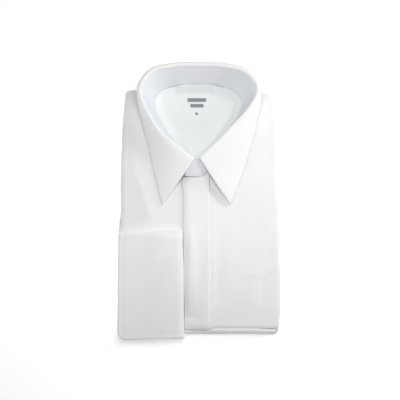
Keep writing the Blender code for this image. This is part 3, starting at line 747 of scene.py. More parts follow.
@dataclass(frozen=True)
class PlainFinish(Finish):
    """Faintly uneven finish of thread, ink and the paper floor, whose glow is painted light."""

    grain: float
    glow: float = 0.0

    def pattern(self, tree: bpy.types.NodeTree) -> dict[str, object]:
        """Add the grain.

        Args:
            tree: Node tree that it goes into.

        Returns:
            The tone's factor and what goes into the shader.
        """
        place = add_node(tree, "ShaderNodeTexCoord").outputs["Object"]
        grain = add_node(tree, "ShaderNodeTexNoise",
                         {"Vector": place, "Scale": 1.0 / (self.grain * MM), "Detail": 2.0})
        bump = add_node(tree, "ShaderNodeBump",
                        {"Height": grain.outputs["Fac"], "Strength": 0.2, "Distance": 0.03 * MM})
        return {"Tone": grain.outputs["Fac"], "Normal": bump.outputs["Normal"],
                "Emission Color": linear(self.light), "Emission Strength": self.glow}


# Bleached cotton poplin, woven and pressed: matt, very slightly blue from optical whitener
POPLIN = CottonPoplin("white_cotton_poplin", "F4F5F5", "F1F2F2")
# The same cloth fused to a firm interlining: smoother, so that the weave is fainter
FUSED_POPLIN = CottonPoplin("fused_collar_poplin", "F5F5F5", "F2F3F3", 0.78, 0.10, 0.025)
CUFF_POPLIN = CottonPoplin("fused_cuff_poplin", "F3F4F4", "F0F1F1", 0.80, 0.10, 0.028)
# The stand's band: the same cloth with more optical whitener, so that it looks cooler; its colour
# is also made darker, as painted shade for the shade that falls inside the collar
SHADED_BAND_POPLIN = CottonPoplin("collar_band_painted_shade_poplin", "E9EBEF", "E4E6EB", 0.80, 0.10, 0.025)
# The inside of the cloth, unpressed
INSIDE_POPLIN = CottonPoplin("inner_cotton_poplin", "EEF0F0", "EAEDEC", 0.86)
# Spun polyester sewing thread: twisted, with a faint lustre
THREAD = PlainFinish("white_sewing_thread", "F6F6F8", "E9EAEE", 0.55, 0.5)
# Grey textile ink of a plain printed mark
INK = PlainFinish("grey_textile_ink", "8F9098", "83848C", 0.8, 0.6)
# White paper sweep that glows as painted light, with no lamp under it, so that shadows on it stay
# faint and the shirt is faintly lit from below
PAINTED_GLOW_PAPER = PlainFinish("white_paper_sweep_painted_glow", "FAFAFA", "F8F8F8", 0.9, 2.0, 0.42)


@dataclass
class MeshDraft:
    """Points, cloth coordinates and faces of one mesh, in millimetres."""

    points: list[Array] = field(default_factory=list)
    cloth: list[Array] = field(default_factory=list)
    faces: list[list[int]] = field(default_factory=list)

    def add_points(self, points: Array, cloth: Array) -> int:
        """Add points.

        Args:
            points: Their places.
            cloth: Their lengths along the cloth, for the weave.

        Returns:
            The number of the first one.
        """
        first = sum(map(len, self.points))
        self.points.append(points.reshape(-1, 3))
        self.cloth.append(cloth.reshape(-1, 2))
        return first

    def add_faces(self, *corners: Numbers) -> None:
        """Add a face for each place in the rows of corners."""
        self.faces += np.stack(corners, axis=1).tolist()

    def add_strip(self, ring: Numbers, after: Numbers) -> None:
        """Join two closed rings of points."""
        self.add_faces(np.roll(ring, -1), ring, after, np.roll(after, -1))

    def add_tube(self, rings: list[Array], closed: bool) -> None:
        """Add rings of points, joined in turn, with a face in the first one.

        Args:
            rings: Points of each ring.
            closed: Whether the last one has a face too.
        """
        numbers = [np.arange(len(ring)) + self.add_points(ring, ring[:, :2]) for ring in rings]
        for ring, after in zip(numbers, numbers[1:]):
            self.add_strip(ring, after)
        self.faces.append(numbers[0].tolist())
        if closed:
            self.faces.append(numbers[-1][::-1].tolist())

    def add_wall(self, outer: Array, inner: Array) -> "MeshDraft":
        """Add a closed wall between two grids, with a rounded rim.

        Args:
            outer: Points of the side that shows.
            inner: Points of the other side, in the same order.

        Returns:
            This draft.
        """
        rows, columns = outer.shape[:2]
        cloth = cloth_lengths(outer)
        first = self.add_points(outer, cloth)
        second = self.add_points(inner, cloth)
        quads = grid_quads(rows, columns)
        self.faces += (quads + first).tolist() + (quads[:, ::-1] + second).tolist()
        rim, i, j = grid_rim(rows, columns)
        middle = (outer + inner) / 2.0
        inside = middle[np.clip(i, 1, rows - 2), np.clip(j, 1, columns - 2)]
        thickness = np.linalg.norm(outer[i, j] - inner[i, j], axis=1, keepdims=True)
        bulge = middle[i, j] + unit(middle[i, j] - inside) * thickness * RIM_ROUND
        ring = np.arange(len(rim)) + self.add_points(bulge, cloth[i, j])
        self.add_strip(rim + first, ring)
        self.add_strip(ring, rim + second)
        return self

    def build(self, name: str, finish: Finish, slot: Slot | None = None) -> bpy.types.Object:
        """Make the object, which rides with the shirt if it has a slot.

        Args:
            name: Its name.
            finish: Its finish.
            slot: Slot of the record that a piece of the shirt takes its finish from.

        Returns:
            The object, in metres, with its faces pointing out.
        """
        points = np.concatenate(self.points) * MM
        a, b, c, d = (points[[face[k] for face in self.faces]] for k in (0, 1, 2, -1))
        outward = (a * (np.cross(b, c) + np.cross(c, d))).sum() >= 0.0
        mesh = bpy.data.meshes.new(name)
        mesh.from_pydata(points.tolist(), [], [face[::1 if outward else -1] for face in self.faces])
        layer = mesh.uv_layers.new(name="cloth")
        numbers = np.empty(len(mesh.loops), int)
        mesh.loops.foreach_get("vertex_index", numbers)
        layer.data.foreach_set("uv", (np.concatenate(self.cloth)[numbers] * MM).ravel())
        mesh.shade_smooth()
        mesh.materials.append(finish.material())
        piece = bpy.data.objects.new(name, mesh)
        bpy.context.scene.collection.objects.link(piece)
        if slot:
            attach(piece, ROOT)
            LOG.info("%s: %d faces", name, len(self.faces))
        return piece


def wall_round(grid: Array, thickness: Reach, outer: Reach = 0.0, inner: Reach = 0.0) -> MeshDraft:
    """Closed wall round the middle of a cloth.

    Args:
        grid: Points of the middle.
        thickness: Thickness of the wall.
        outer: Relief of the side that the normals point to.
        inner: How far the other side is moved the same way.

    Returns:
        The wall's draft.
    """
    way = normals(grid)
    half, outer, inner = (np.asarray(value)[..., None] for value in (thickness / 2.0, outer, inner))
    return MeshDraft().add_wall(grid + way * (half + outer), grid - way * (half - inner))


@dataclass
class ClothPiece:
    """A piece of the shirt that stands for a node of the part."""

    name: str
    node: str
    slot: Slot
    finish: CottonPoplin
    flat: Pair                  # sides of the rectangle that it is cut from, in metres
    area: float | None          # its own area where it isn't a rectangle
    held: Held
    rests_on: tuple[str, ...] = ()

    def draft(self) -> MeshDraft:
        """Build the piece's mesh."""
        raise NotImplementedError

    def add(self) -> None:
        """Add the piece to the scene, on its body and in place of its node."""
        piece = self.draft().build(self.name, self.finish, self.slot)
        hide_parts(self.node)


@dataclass
class FoldedStack(ClothPiece):
    """Hidden back, side folds, second sleeve and tail, which show as layers at the edges."""

    pitch: float = 4.0
    turns: int = 12
    lines: int = 80
    sink: float = 0.8
    fold_sink: float = 0.15
    corner: float = 4.0
    reach_side: float = 9.6
    reach_hem: float = 14.6
    reach_top: float = 7.5
    reach_under_sleeve: Pair = (2.0, 6.6)       # on the floor, and at mid-height
    under_sleeve_y: Pair = (-10.0, 15.0)        # where its side is free of the sleeve
    mid_height: float = 4.5
    fly_push: float = 0.4
    fly_x: Pair = (13.5, 17.0)
    cuff_x: Pair = (-24.0, -20.0)               # where the cuff ends
    corner_x: Pair = (68.0, 95.0)
    top_from: float = 8.0                       # heights of the top layer at the hem
    top_range: float = 2.3
    rise: float = 1.8       # how much higher the top layer lies at the hem beside the cuff
    lean: float = 0.9       # how much closer it lies to the fronts there
    run: float = 1.2        # cloth between two heights of the edge
    lap_x: Pair = (-23.0, -20.0)                # where the lapped front ends
    uneven: Pair = (0.12, 0.35)                 # of the top layer, and of the ones under it
    uneven_size: float = 34.0
    uneven_shift: float = 90.0                  # from one layer to the next
    seed: int = 40

    def past_lap(self, x: Array) -> Array:
        """How much farther out the lapped front and the fly roll over the hem fold."""
        fly = self.fly_push * (1.0 - step_between(*self.fly_x, x)) * step_between(*self.cuff_x, x)
        return step_between(*self.lap_x, x) * lap_lift(x) + fly

    def raised(self, x: Array, height: float) -> Array:
        """How much of its rise a height of the layers gets: none under the cuff or at a corner."""
        between = step_between(*self.cuff_x, x) * (1.0 - step_between(*self.corner_x, x))
        return between * float(np.clip((height - self.top_from) / self.top_range, 0.0, 1.0))

    def reach(self, at: Places, step_out: Array, z: Array, layer: int) -> Array:
        """How far one height of the layers' edge stands out from the flat top.

        Args:
            at: Places on the flat top's edge.
            step_out: How far this height stands out from the layers' reach.
            z: The height.
            layer: Number of the layer, which sets its unevenness.

        Returns:
            The reach in x and y.
        """
        sleeve = blend(*self.reach_under_sleeve, smooth(z / self.mid_height))
        tucked = blend(sleeve, self.reach_side, step_between(*self.under_sleeve_y, at.y))
        across = np.where(at.x < 0.0, tucked, self.reach_side)
        along = np.where(at.end < 0.0, self.reach_hem, self.reach_top)
        uneven = Uneven(self.uneven[min(layer, 1)], self.uneven_size, self.seed + layer)
        step_out = step_out + uneven.at(at.x + self.uneven_shift * layer, at.y)
        reach = np.stack((across, along), axis=-1) + step_out[..., None]
        return fold_way(at.side, at.end, self.corner) * reach

    def draft(self) -> MeshDraft:
        """Build the stack: its top, its layered edges and its flat underside.

        Returns:
            Its draft.
        """
        across = round_folds(BODY.columns(self.pitch), 1.0, self.turns, True, True)
        along = round_folds(np.linspace(0.0, 1.0, self.lines), 1.0, self.turns, True, True)
        column, part = across[0], along[0]
        at = lay_out(across, along, BODY.hem_y, BODY.top_fold_y(column))
        inside = (np.abs(column) < BODY.nominal)[:, None] & (part > 0.0) & (part < 1.0)
        points = BODY.skin(at, np.where(inside, -self.sink, -self.fold_sink))
        draft = MeshDraft()
        cloth = cloth_lengths(points)
        draft.add_points(points, cloth)
        draft.faces += grid_quads(*points.shape[:2]).tolist()
        ring, i, j = grid_rim(*points.shape[:2])
        at = Places(*(values[i, j] for values in (at.x, at.y, at.side, at.end)))
        run = cloth[i, j]
        at_hem = smooth(-at.end) * (1.0 - 0.5 * smooth(np.abs(at.side)))
        lap = self.past_lap(at.x) * at_hem
        for layer, (step_out, z, hem_out, hem_z) in enumerate(STACK_ROWS):
            step = blend(step_out, hem_out, at_hem)
            step = step + lap * np.clip(-step / HEM_LEDGE, 0.0, 1.0)
            raised = self.raised(at.x, hem_z) * at_hem
            height = blend(z, hem_z, at_hem) + self.rise * raised
            out = self.reach(at, step - self.lean * raised ** 2, height, layer // 4)
            run = run + self.run
            place = np.column_stack((at.x + out[:, 0], at.y + out[:, 1], height))
            after = np.arange(len(i)) + draft.add_points(place, run)
            draft.add_strip(ring, after)
            ring = after
        draft.faces.append(ring[::-1].tolist())
        return draft


@dataclass
class Panel(ClothPiece):
    """Cloth of a front that lies on the folded body and rolls round its folds."""

    body_side: Side = Side.LEFT
    columns: tuple[float, ...] = ()
    over: float = GAP       # height of its underside over what the fronts lie on
    folds_x: Pair = (-24.0, -34.0)      # where the right front's folds start, past the fly
    pitch: float = 2.0
    lines: int = 150
    side_turn: float = 0.85
    hem_turn: float = 0.667
    steps: int = 14

    def high_y(self, x: Array) -> Array:
        """Upper edge: the neckline, then the shoulder seam."""
        neck = np.minimum(np.interp(x, *NECKLINES[self.body_side].T), NECK.point_y) - NECK.margin
        return np.where(NECK.past(x) < 0.0, neck, shoulder_seam_y(x))

    def lift(self, x: Array, y: Array) -> Array:
        """Height over the body, with the lap, the neck's rise and the folds.

        Args:
            x: Places in x.
            y: Places in y.

        Returns:
            The height of its underside.
        """
        left = self.body_side is Side.LEFT
        folds = fold_height(x, y) * (1.0 if left else step_between(*self.folds_x, x))
        return self.over + NECK.lift(x, y) + folds + (lap_lift(x) if left else 0.0)

    def thickness(self, at: Places) -> Reach:
        """Thickness of its cloth."""
        return PANEL_WALL

    def relief(self, at: Places) -> Array:
        """Fine creases of its outer side."""
        raise NotImplementedError

    def grid(self) -> Places:
        """Places of the panel's points.

        Returns:
            The places, by column and line.
        """
        counts = [round(abs(b - a) / self.pitch) for a, b in zip(self.columns, self.columns[1:])]
        column = steps_through(np.cumsum([0, *counts]), self.columns)
        across = round_folds(column, self.side_turn, self.steps, False, self.side_turn > 0.0)
        part = np.linspace(0.0, 1.0, self.lines)
        along = round_folds(part, self.hem_turn, self.steps, True, False)
        return lay_out(across, along, BODY.hem_y, self.high_y(across[0]))

    def draft(self) -> MeshDraft:
        """Build the panel as a wall on the folded body.

        Returns:
            Its draft.
        """
        at = self.grid()
        base = self.lift(at.x, at.y)
        top = base + self.thickness(at) + self.relief(at)
        return MeshDraft().add_wall(BODY.skin(at, top), BODY.skin(at, base))


@dataclass
class Front(Panel):
    """A front panel, from the neck and shoulder seams to the hem fold."""

    fly_x: float = 13.5
    slack: float = 0.75                 # height of the slack cloth beside the stitches
    slack_at: Pair = (5.4, 2.8)         # its distance from the fly, and its width
    sunk: float = 0.35                  # depth of the dent at the stitches
    sunk_at: Pair = (1.7, 1.3)
    sewn_y: Pair = (-150.0, -118.0)     # the stitches pull less below this
    sewn_low: float = 0.25              # what is left of their pull there
    stitch_out: float = 1.5             # how far they lie from the fly
    stitch_sink: float = 0.08
    crease_ease: float = 0.2
    fold_fade: float = 1.6              # how soon the creases fade round a fold
    right_x: Pair = (-16.0, -24.0)      # where the creases start, past the fly
    left_x: Pair = (10.0, 13.0)
    pull: Uneven = Uneven(0.3, 16.0, 3)
    wave: Uneven = Uneven(0.16, 38.0, 5)
    ripple: Uneven = Uneven(0.05, 13.0, 7)
    side_wave: Uneven = Uneven(0.14, 19.0, 9)
    side_length: float = 40.0

    def relief(self, at: Places) -> Array:
        """Creases, slack cloth beside the fly's stitches, and faint unevenness.

        Args:
            at: Places on the folded body.

        Returns:
            The height of the relief.
        """
        x, y, round_side = at.x, at.y, np.abs(at.side)
        from_fly = x - self.fly_x
        slack = self.slack * hump(from_fly, *self.slack_at) * (1.0 + self.pull.at(x, y))
        sewn = slack - self.sunk * hump(from_fly, *self.sunk_at)
        sewn = sewn * blend(self.sewn_low, 1.0, step_between(*self.sewn_y, y))
        past_fly = step_between(*self.left_x, x)
        if self.body_side is Side.RIGHT:
            sewn, past_fly = 0.0, step_between(*self.right_x, x)
        creases = ridges(CREASE_ROWS, x, y, self.crease_ease)
        loose = creases + self.wave.at(x, y) + self.ripple.at(x, y)
        flat = 1.0 - smooth(self.fold_fade * at.turned())
        rolled = self.side_wave.at(y, self.side_length * round_side) * smooth(4.0 * round_side)
        return (sewn + loose * past_fly) * flat + rolled

    def stitches(self) -> Line:
        """Stitches beside the fly.

        Returns:
            Their line.
        """
        y = np.arange(BODY.hem_y + 2.0, float(self.high_y(np.array([self.fly_x]))[0]), 1.0)
        x = np.full_like(y, self.fly_x + self.stitch_out)
        top = self.lift(x, y) + PANEL_WALL + self.relief(Places(x, y))
        return BODY.line(x, y, top - self.stitch_sink)


@dataclass
class Fly(Panel):
    """Covered fly on the left front: folded four times, with a soft edge and a stitched one."""

    over: float = ON_PANEL
    edge_x: float = -19.8
    stitch_x: float = 13.5
    full: float = 3.0               # how far its free edge puffs up beside the cuff
    full_from: Pair = (-30.0, -62.0)
    full_to: Pair = (-78.0, -160.0)
    full_x: float = 9.0             # how far in from the edge it is highest
    full_falls: Pair = (0.65, 12.0)     # how much it falls farther in, and over what distance
    full_falls_low: float = 0.8     # how much it falls towards the hem
    pressed: float = 0.45           # how much thinner it is pressed round the hem fold
    under_leaf: float = -1.6        # how far its edge flares out under the leaf
    leaf_y: Pair = (2.0, 24.0)
    beside_cuff: float = 1.0        # how far its edge draws in beside the low end of the cuff
    cuff_y: Pair = (-112.0, -140.0)
    soft_edge: float = 7.0          # how far in its thickness is rounded
    thin_edge: float = 0.35         # thickness left there
    sewn_edge: float = 1.4
    thin: float = 0.45              # thickness left at the stitches and at the hem
    hem_reach: float = 34.0
    rib: float = 0.42               # height of the rib beside the stitches
    rib_at: Pair = (-1.9, 1.5)
    rib_low: Pair = (-148.0, -118.0)
    rib_high: Pair = (-20.0, 30.0)
    pucker: Uneven = Uneven(0.16, 4.2, 11)
    pucker_width: float = 3.0
    ripple_ease: float = 0.25
    wave: Uneven = Uneven(0.07, 15.0, 13)
    side_turn: float = 0.0
    hem_turn: float = 0.42
    pitch: float = 0.9
    lines: int = 170

    def grid(self) -> Places:
        """Places of the fly's points, with its free edge drawn in or out.

        Returns:
            The places, by column and line.
        """
        at = super().grid()
        drawn = self.under_leaf * step_between(*self.leaf_y, at.y)
        drawn = drawn + self.beside_cuff * step_between(*self.cuff_y, at.y)
        near = 1.0 - smooth((at.x - self.edge_x) / self.full_x)
        return Places(at.x + drawn * near, at.y, at.side, at.end)

    def thickness(self, at: Places) -> Array:
        """Thickness: soft at the free edge, pressed down at the stitches and the hem fold.

        Args:
            at: Places on the folded body.

        Returns:
            The thickness.
        """
        part = np.clip((at.x - self.edge_x) / self.soft_edge, 0.0, 1.0)
        soft = blend(self.thin_edge, 1.0, np.sin(0.5 * math.pi * part))
        sewn = np.sqrt(smooth((self.stitch_x - at.x) / self.sewn_edge))
        stitched = blend(self.thin, 1.0, sewn)
        hem = blend(self.thin, 1.0, smooth((at.y - BODY.hem_y) / self.hem_reach))
        return PLACKET_WALL * soft * stitched * hem

    def relief(self, at: Places) -> Array:
        """Full free edge beside the cuff, ripples, and the rib beside the stitches.

        Args:
            at: Places on the folded body.

        Returns:
            The height of the relief.
        """
        x, y = at.x, at.y
        from_edge, from_stitch = x - self.edge_x, x - self.stitch_x
        full = self.full * smooth(from_edge / self.full_x)
        falls, distance = self.full_falls
        full = full * (1.0 - falls * smooth((from_edge - self.full_x) / distance))
        full = full * step_between(*self.full_from, y)
        full = full * (1.0 - self.full_falls_low * step_between(*self.full_to, y))
        rib = self.rib * hump(from_stitch, *self.rib_at) * step_between(*self.rib_low, y)
        rib = rib * (1.0 - 0.5 * step_between(*self.rib_high, y))
        pucker = self.pucker.at(y, x) * hump(from_stitch, 0.0, self.pucker_width)
        ripples = ridges(FLY_RIPPLE_ROWS, x, y, self.ripple_ease) + self.wave.at(x, y)
        flat = smooth(from_edge / 3.0) * (1.0 - smooth(-4.0 * at.end))
        return (ripples + rib + pucker + full) * flat - self.pressed * smooth(-3.0 * at.end)


@dataclass
class Yoke(ClothPiece):
    """Outer yoke: shoulder strips that meet behind the neck and roll over the top fold."""

    pitch: float = 2.2
    rows: int = 10
    steps: int = 14
    turn: float = 0.75
    sewn_up: float = 0.35   # its folded edge lies this much higher than the front at the seam
    sewn_width: float = 1.6
    stitch_in: float = 2.2  # how far its stitches lie from that edge
    stitch_sink: float = 0.05
    dent: float = 0.25
    dent_width: float = 0.8
    wave: Uneven = Uneven(0.10, 21.0, 17)

    def draft(self) -> MeshDraft:
        """Build the yoke as a wall on the folded body.

        Returns:
            Its draft.
        """
        across = round_folds(BODY.columns(self.pitch), self.turn, self.steps, True, True)
        column = across[0]
        low = shoulder_seam_y(column) + GAP
        back = np.interp(column, *BACK_NECKLINE.T) + NECK.margin
        low = np.where(NECK.past(column) < 0.0, np.maximum(low, back), low)
        along = round_folds(np.linspace(0.0, 1.0, self.rows), self.turn, self.steps, False, True)
        at = lay_out(across, along, low, BODY.top_fold_y(column))
        from_low = at.y - low[:, None]
        sewn = self.sewn_up * hump(from_low, 0.0, self.sewn_width)
        base = GAP + NECK.lift(at.x, at.y, at.turned()) + sewn
        dent = self.dent * hump(from_low, self.stitch_in, self.dent_width)
        fine = self.wave.at(at.x, at.y) - dent
        return MeshDraft().add_wall(BODY.skin(at, base + PANEL_WALL + fine), BODY.skin(at, base))

    def stitches(self, side: Side) -> Line:
        """Stitches beside one shoulder seam.

        Args:
            side: Side of the shirt.

        Returns:
            Their line.
        """
        neck = NECK.point_left if side is Side.LEFT else -NECK.point_right
        x = side.value * np.linspace(neck + 2.0, BODY.nominal - 1.0, 40)
        y = shoulder_seam_y(x) + GAP + self.stitch_in
        x = BODY.column_x(x, y)
        return BODY.line(x, y, GAP + NECK.lift(x, y) + PANEL_WALL - self.stitch_sink)


@dataclass
class InnerYoke(ClothPiece):
    """Inner yoke, the cloth seen through the neck."""

    around: int = 144
    rings: int = 34
    margin: float = 0.7
    curl: float = 12.0
    centre_y: float = 105.0
    crowding: float = 0.8       # its rings lie closer together towards the seam
    fly_x: float = -3.0         # middle of the fly, where more layers lie under the stand
    fly_half: float = 30.0
    fly_ease: float = 9.0       # how softly those layers end
    ripple_ease: float = 0.3
    smooth_rim: int = 8         # how late its unevenness ends before the seam
    wave: Uneven = Uneven(0.16, 24.0, 21)

    def stack(self, x: Reach) -> Array:
        """Height of the panels' outer side over the folded layers at the neck seam."""
        near_fly = smooth((self.fly_half - np.abs(np.asarray(x) - self.fly_x)) / self.fly_ease)
        return PANEL_WALL + GAP + (PLACKET_WALL + GAP + PANEL_WALL + GAP) * near_fly

    def lift(self, x: Reach, y: Reach) -> Array:
        """Height over the folded layers: it rises to meet the stand."""
        near = 1.0 - smooth((NECK.distance(x, y) - self.margin) / self.curl)
        return GAP + (NECK.rise + self.stack(x) - LINING_WALL - GAP) * near

    def top(self, x: Array, y: Array) -> Array:
        """Points just over the side that shows."""
        return BODY.skin(Places(x, y), self.lift(x, y) + LINING_WALL)

    def draft(self) -> MeshDraft:
        """Build the round piece, ring by ring from its middle.

        Returns:
            Its draft.
        """
        centre = np.array((NECK.loop()[:, 0].mean(), self.centre_y))
        border = COLLAR.at(LAST_SECTION * np.arange(self.around) / self.around)[:, SEAM]
        border = border - unit(border - centre) * self.margin
        parts = np.linspace(0.0, 1.0, self.rings + 1)[1:, None]
        place = centre + (border - centre) * parts[..., None] ** self.crowding
        x, y = place[..., 0], place[..., 1]
        base = self.lift(x, y)
        uneven = self.wave.at(x, y) + ridges(YOKE_RIPPLE_ROWS, x, y, self.ripple_ease)
        uneven = uneven * (1.0 - parts ** self.smooth_rim)
        draft = MeshDraft()
        edges = []
        for turn, over, relief in ((1, LINING_WALL, uneven), (-1, 0.0, 0.0)):
            start = draft.add_points(BODY.skin(Places(*centre), GAP + over), centre)
            draft.add_points(BODY.skin(Places(x, y), base + over + relief), place)
            rings = start + 1 + np.arange(self.rings * self.around).reshape(self.rings, -1)
            draft.add_faces(*(np.full(self.around, start), rings[0], np.roll(rings[0], -1))[::turn])
            for near, far in zip(rings, rings[1:]):
                draft.add_faces(*(near, far, np.roll(far, -1), np.roll(near, -1))[::turn])
            edges.append(rings[-1])
        draft.add_strip(*edges)
        return draft


@dataclass
class CollarStand(ClothPiece):
    """Band that stands up from the neck seam, with its ends lapped at the front."""

    fine: int = 12
    heights: int = 16
    tuck: float = 3.5
    clear: float = 0.15
    coarse: int = 3
    end_wall: float = 1.0       # its lapped end is pressed thin
    end_reach: float = 42.0
    stitch_up: float = 2.6      # how far its stitches lie over the seam
    stitch_sink: float = 0.12
    dent: float = 0.22
    dent_width: float = 0.8
    wave: Uneven = Uneven(0.10, 26.0, 27)

    def middle(self) -> Array:
        """Middle of the band's cloth, by section and height.

        Returns:
            The points.
        """
        sections = np.arange(self.coarse * LAST_SECTION + 1) / self.coarse
        values = COLLAR.at(sections)
        tops = values[:, RIDGE] - collar_out(sections) * RIDGE_RADIUS - (0.0, 0.0, self.tuck)
        rows = np.vstack((STAND_UNDER_END, np.hstack((tops, values[:, SEAM])), STAND_OVER_END))
        last = len(rows) - 1
        places = np.linspace(0, last, last * self.fine // self.coarse + 1)
        rows = Curves(np.column_stack((np.arange(last + 1), rows))).at(places)[:, 1:]
        top, seam = rows[:, END_TOP], rows[:, END_SEAM]
        foot_z = BODY.top_height(*seam.T) + NECK.rise + INNER_YOKE.stack(seam[:, 0])
        foot = np.column_stack((seam, foot_z + GAP + self.clear))
        part = np.linspace(0.0, 1.0, self.heights)[:, None]
        return blend(foot[:, None, :], top[:, None, :], part)

    def draft(self) -> MeshDraft:
        """Build the band, with a stitched dent inside it over the seam.

        Returns:
            Its draft.
        """
        grid = self.middle()
        along, up = np.moveaxis(cloth_lengths(grid), -1, 0)
        wall = blend(self.end_wall, COLLAR_WALL, smooth((along[-1:] - along) / self.end_reach))
        dent = self.dent * hump(up, self.stitch_up, self.dent_width)
        return wall_round(grid, wall, inner=self.wave.at(along, up) + dent)

    def stitches(self) -> Line:
        """Stitches inside the band, over the seam.

        Returns:
            Their line.
        """
        grid = self.middle()
        part = np.array([np.interp(self.stitch_up, row, np.arange(len(row)))
                         for row in cloth_lengths(grid)[..., 1]])
        low, i = part.astype(int), np.arange(len(part))
        place = blend(grid[i, low], grid[i, low + 1], (part - low)[:, None])
        way = -normals(grid)[i, low]
        return place + way * (COLLAR_WALL / 2.0 - self.stitch_sink), way


def collar_out(section: Array) -> Array:
    """Level directions away from the neck.

    Args:
        section: Sections of the collar.

    Returns:
        The direction at each one.
    """
    before, after = (COLLAR.at(np.clip(section + step, 0.0, LAST_SECTION))[:, RIDGE]
                     for step in (-0.05, 0.05))
    run_x, run_y, _ = (after - before).T
    return unit(np.column_stack((-run_y, run_x, np.zeros(len(run_x)))))


@dataclass
class CollarLeaf(ClothPiece):
    """Fall of the collar with its two points."""

    fine: int = 14
    steps: int = 30
    bow: float = 0.62
    bow_side: float = 0.44
    bow_front: float = 0.38
    land: float = 0.9
    crowding: float = 1.25
    upright: float = 20.0
    tucked: float = 0.4         # how far its inner end goes down past the roll of the ridge
    ridge_turns: tuple[float, ...] = (75.0, 60.0, 42.0, 25.0, 12.0)    # steps of that roll, degrees
    back_from: float = 3.5      # section from which it bows as it does behind the neck
    stitch_inset: float = 5.5
    dent: float = 0.16
    seam_roll: float = 0.10     # height of the cloth between its stitches and its edge
    roll_width: float = 1.8
    thin: float = 0.30          # how much thinner it is at its edge
    edge_width: float = 0.9     # width of the dent and of the thin edge
    wave: Uneven = Uneven(0.12, 32.0, 31)

    def middle(self) -> Array:
        """Middle of the leaf's cloth: from inside the ridge, over it and down to the edge.

        Returns:
            The points.
        """
        section = np.arange(self.fine * LAST_SECTION + 1) / self.fine
        values, out = COLLAR.at(section), collar_out(section)
        ridge, edge = values[:, RIDGE], values[:, EDGE]
        up = np.array((0.0, 0.0, 1.0))
        fall = edge - ridge
        level = fall * (1.0, 1.0, 0.0)
        lean = smooth(np.linalg.norm(level, axis=1, keepdims=True) / self.upright)
        way = unit(unit(level) * lean + out * (1.0 - lean))
        lines = [ridge - out * RIDGE_RADIUS - up * (RIDGE_RADIUS + self.tucked)]
        for turn in np.radians(self.ridge_turns):
            inside = out * math.sin(turn) + up * (1.0 - math.cos(turn))
            lines.append(ridge - RIDGE_RADIUS * inside)
        front = np.minimum(section, LAST_SECTION - section)[:, None]
        bow = blend(self.bow_front, self.bow_side, smooth(front / 2.0))
        bow = blend(bow, self.bow, smooth((front - self.back_from) / 2.0))
        start = way * np.linalg.norm(fall, axis=1, keepdims=True) * bow
        for t in np.linspace(0.0, 1.0, self.steps + 1) ** self.crowding:
            lines.append(curve_between(ridge, start, edge, fall * self.land, t))
        return np.stack(lines, axis=1)

    def draft(self) -> MeshDraft:
        """Build the leaf, with a faint dent along its row of stitches.

        Returns:
            Its draft.
        """
        grid = self.middle()
        down, across = np.moveaxis(cloth_lengths(grid), -1, 0)
        inset = np.minimum(across[:, -1:] - across, np.minimum(down, down[-1:] - down))
        relief = (self.wave.at(down, across)
                  - self.dent * hump(inset, self.stitch_inset, self.edge_width)
                  + self.seam_roll * hump(inset, self.stitch_inset / 2.0, self.roll_width)
                  - self.thin * hump(inset, 0.0, self.edge_width))
        return wall_round(grid, COLLAR_WALL, relief)


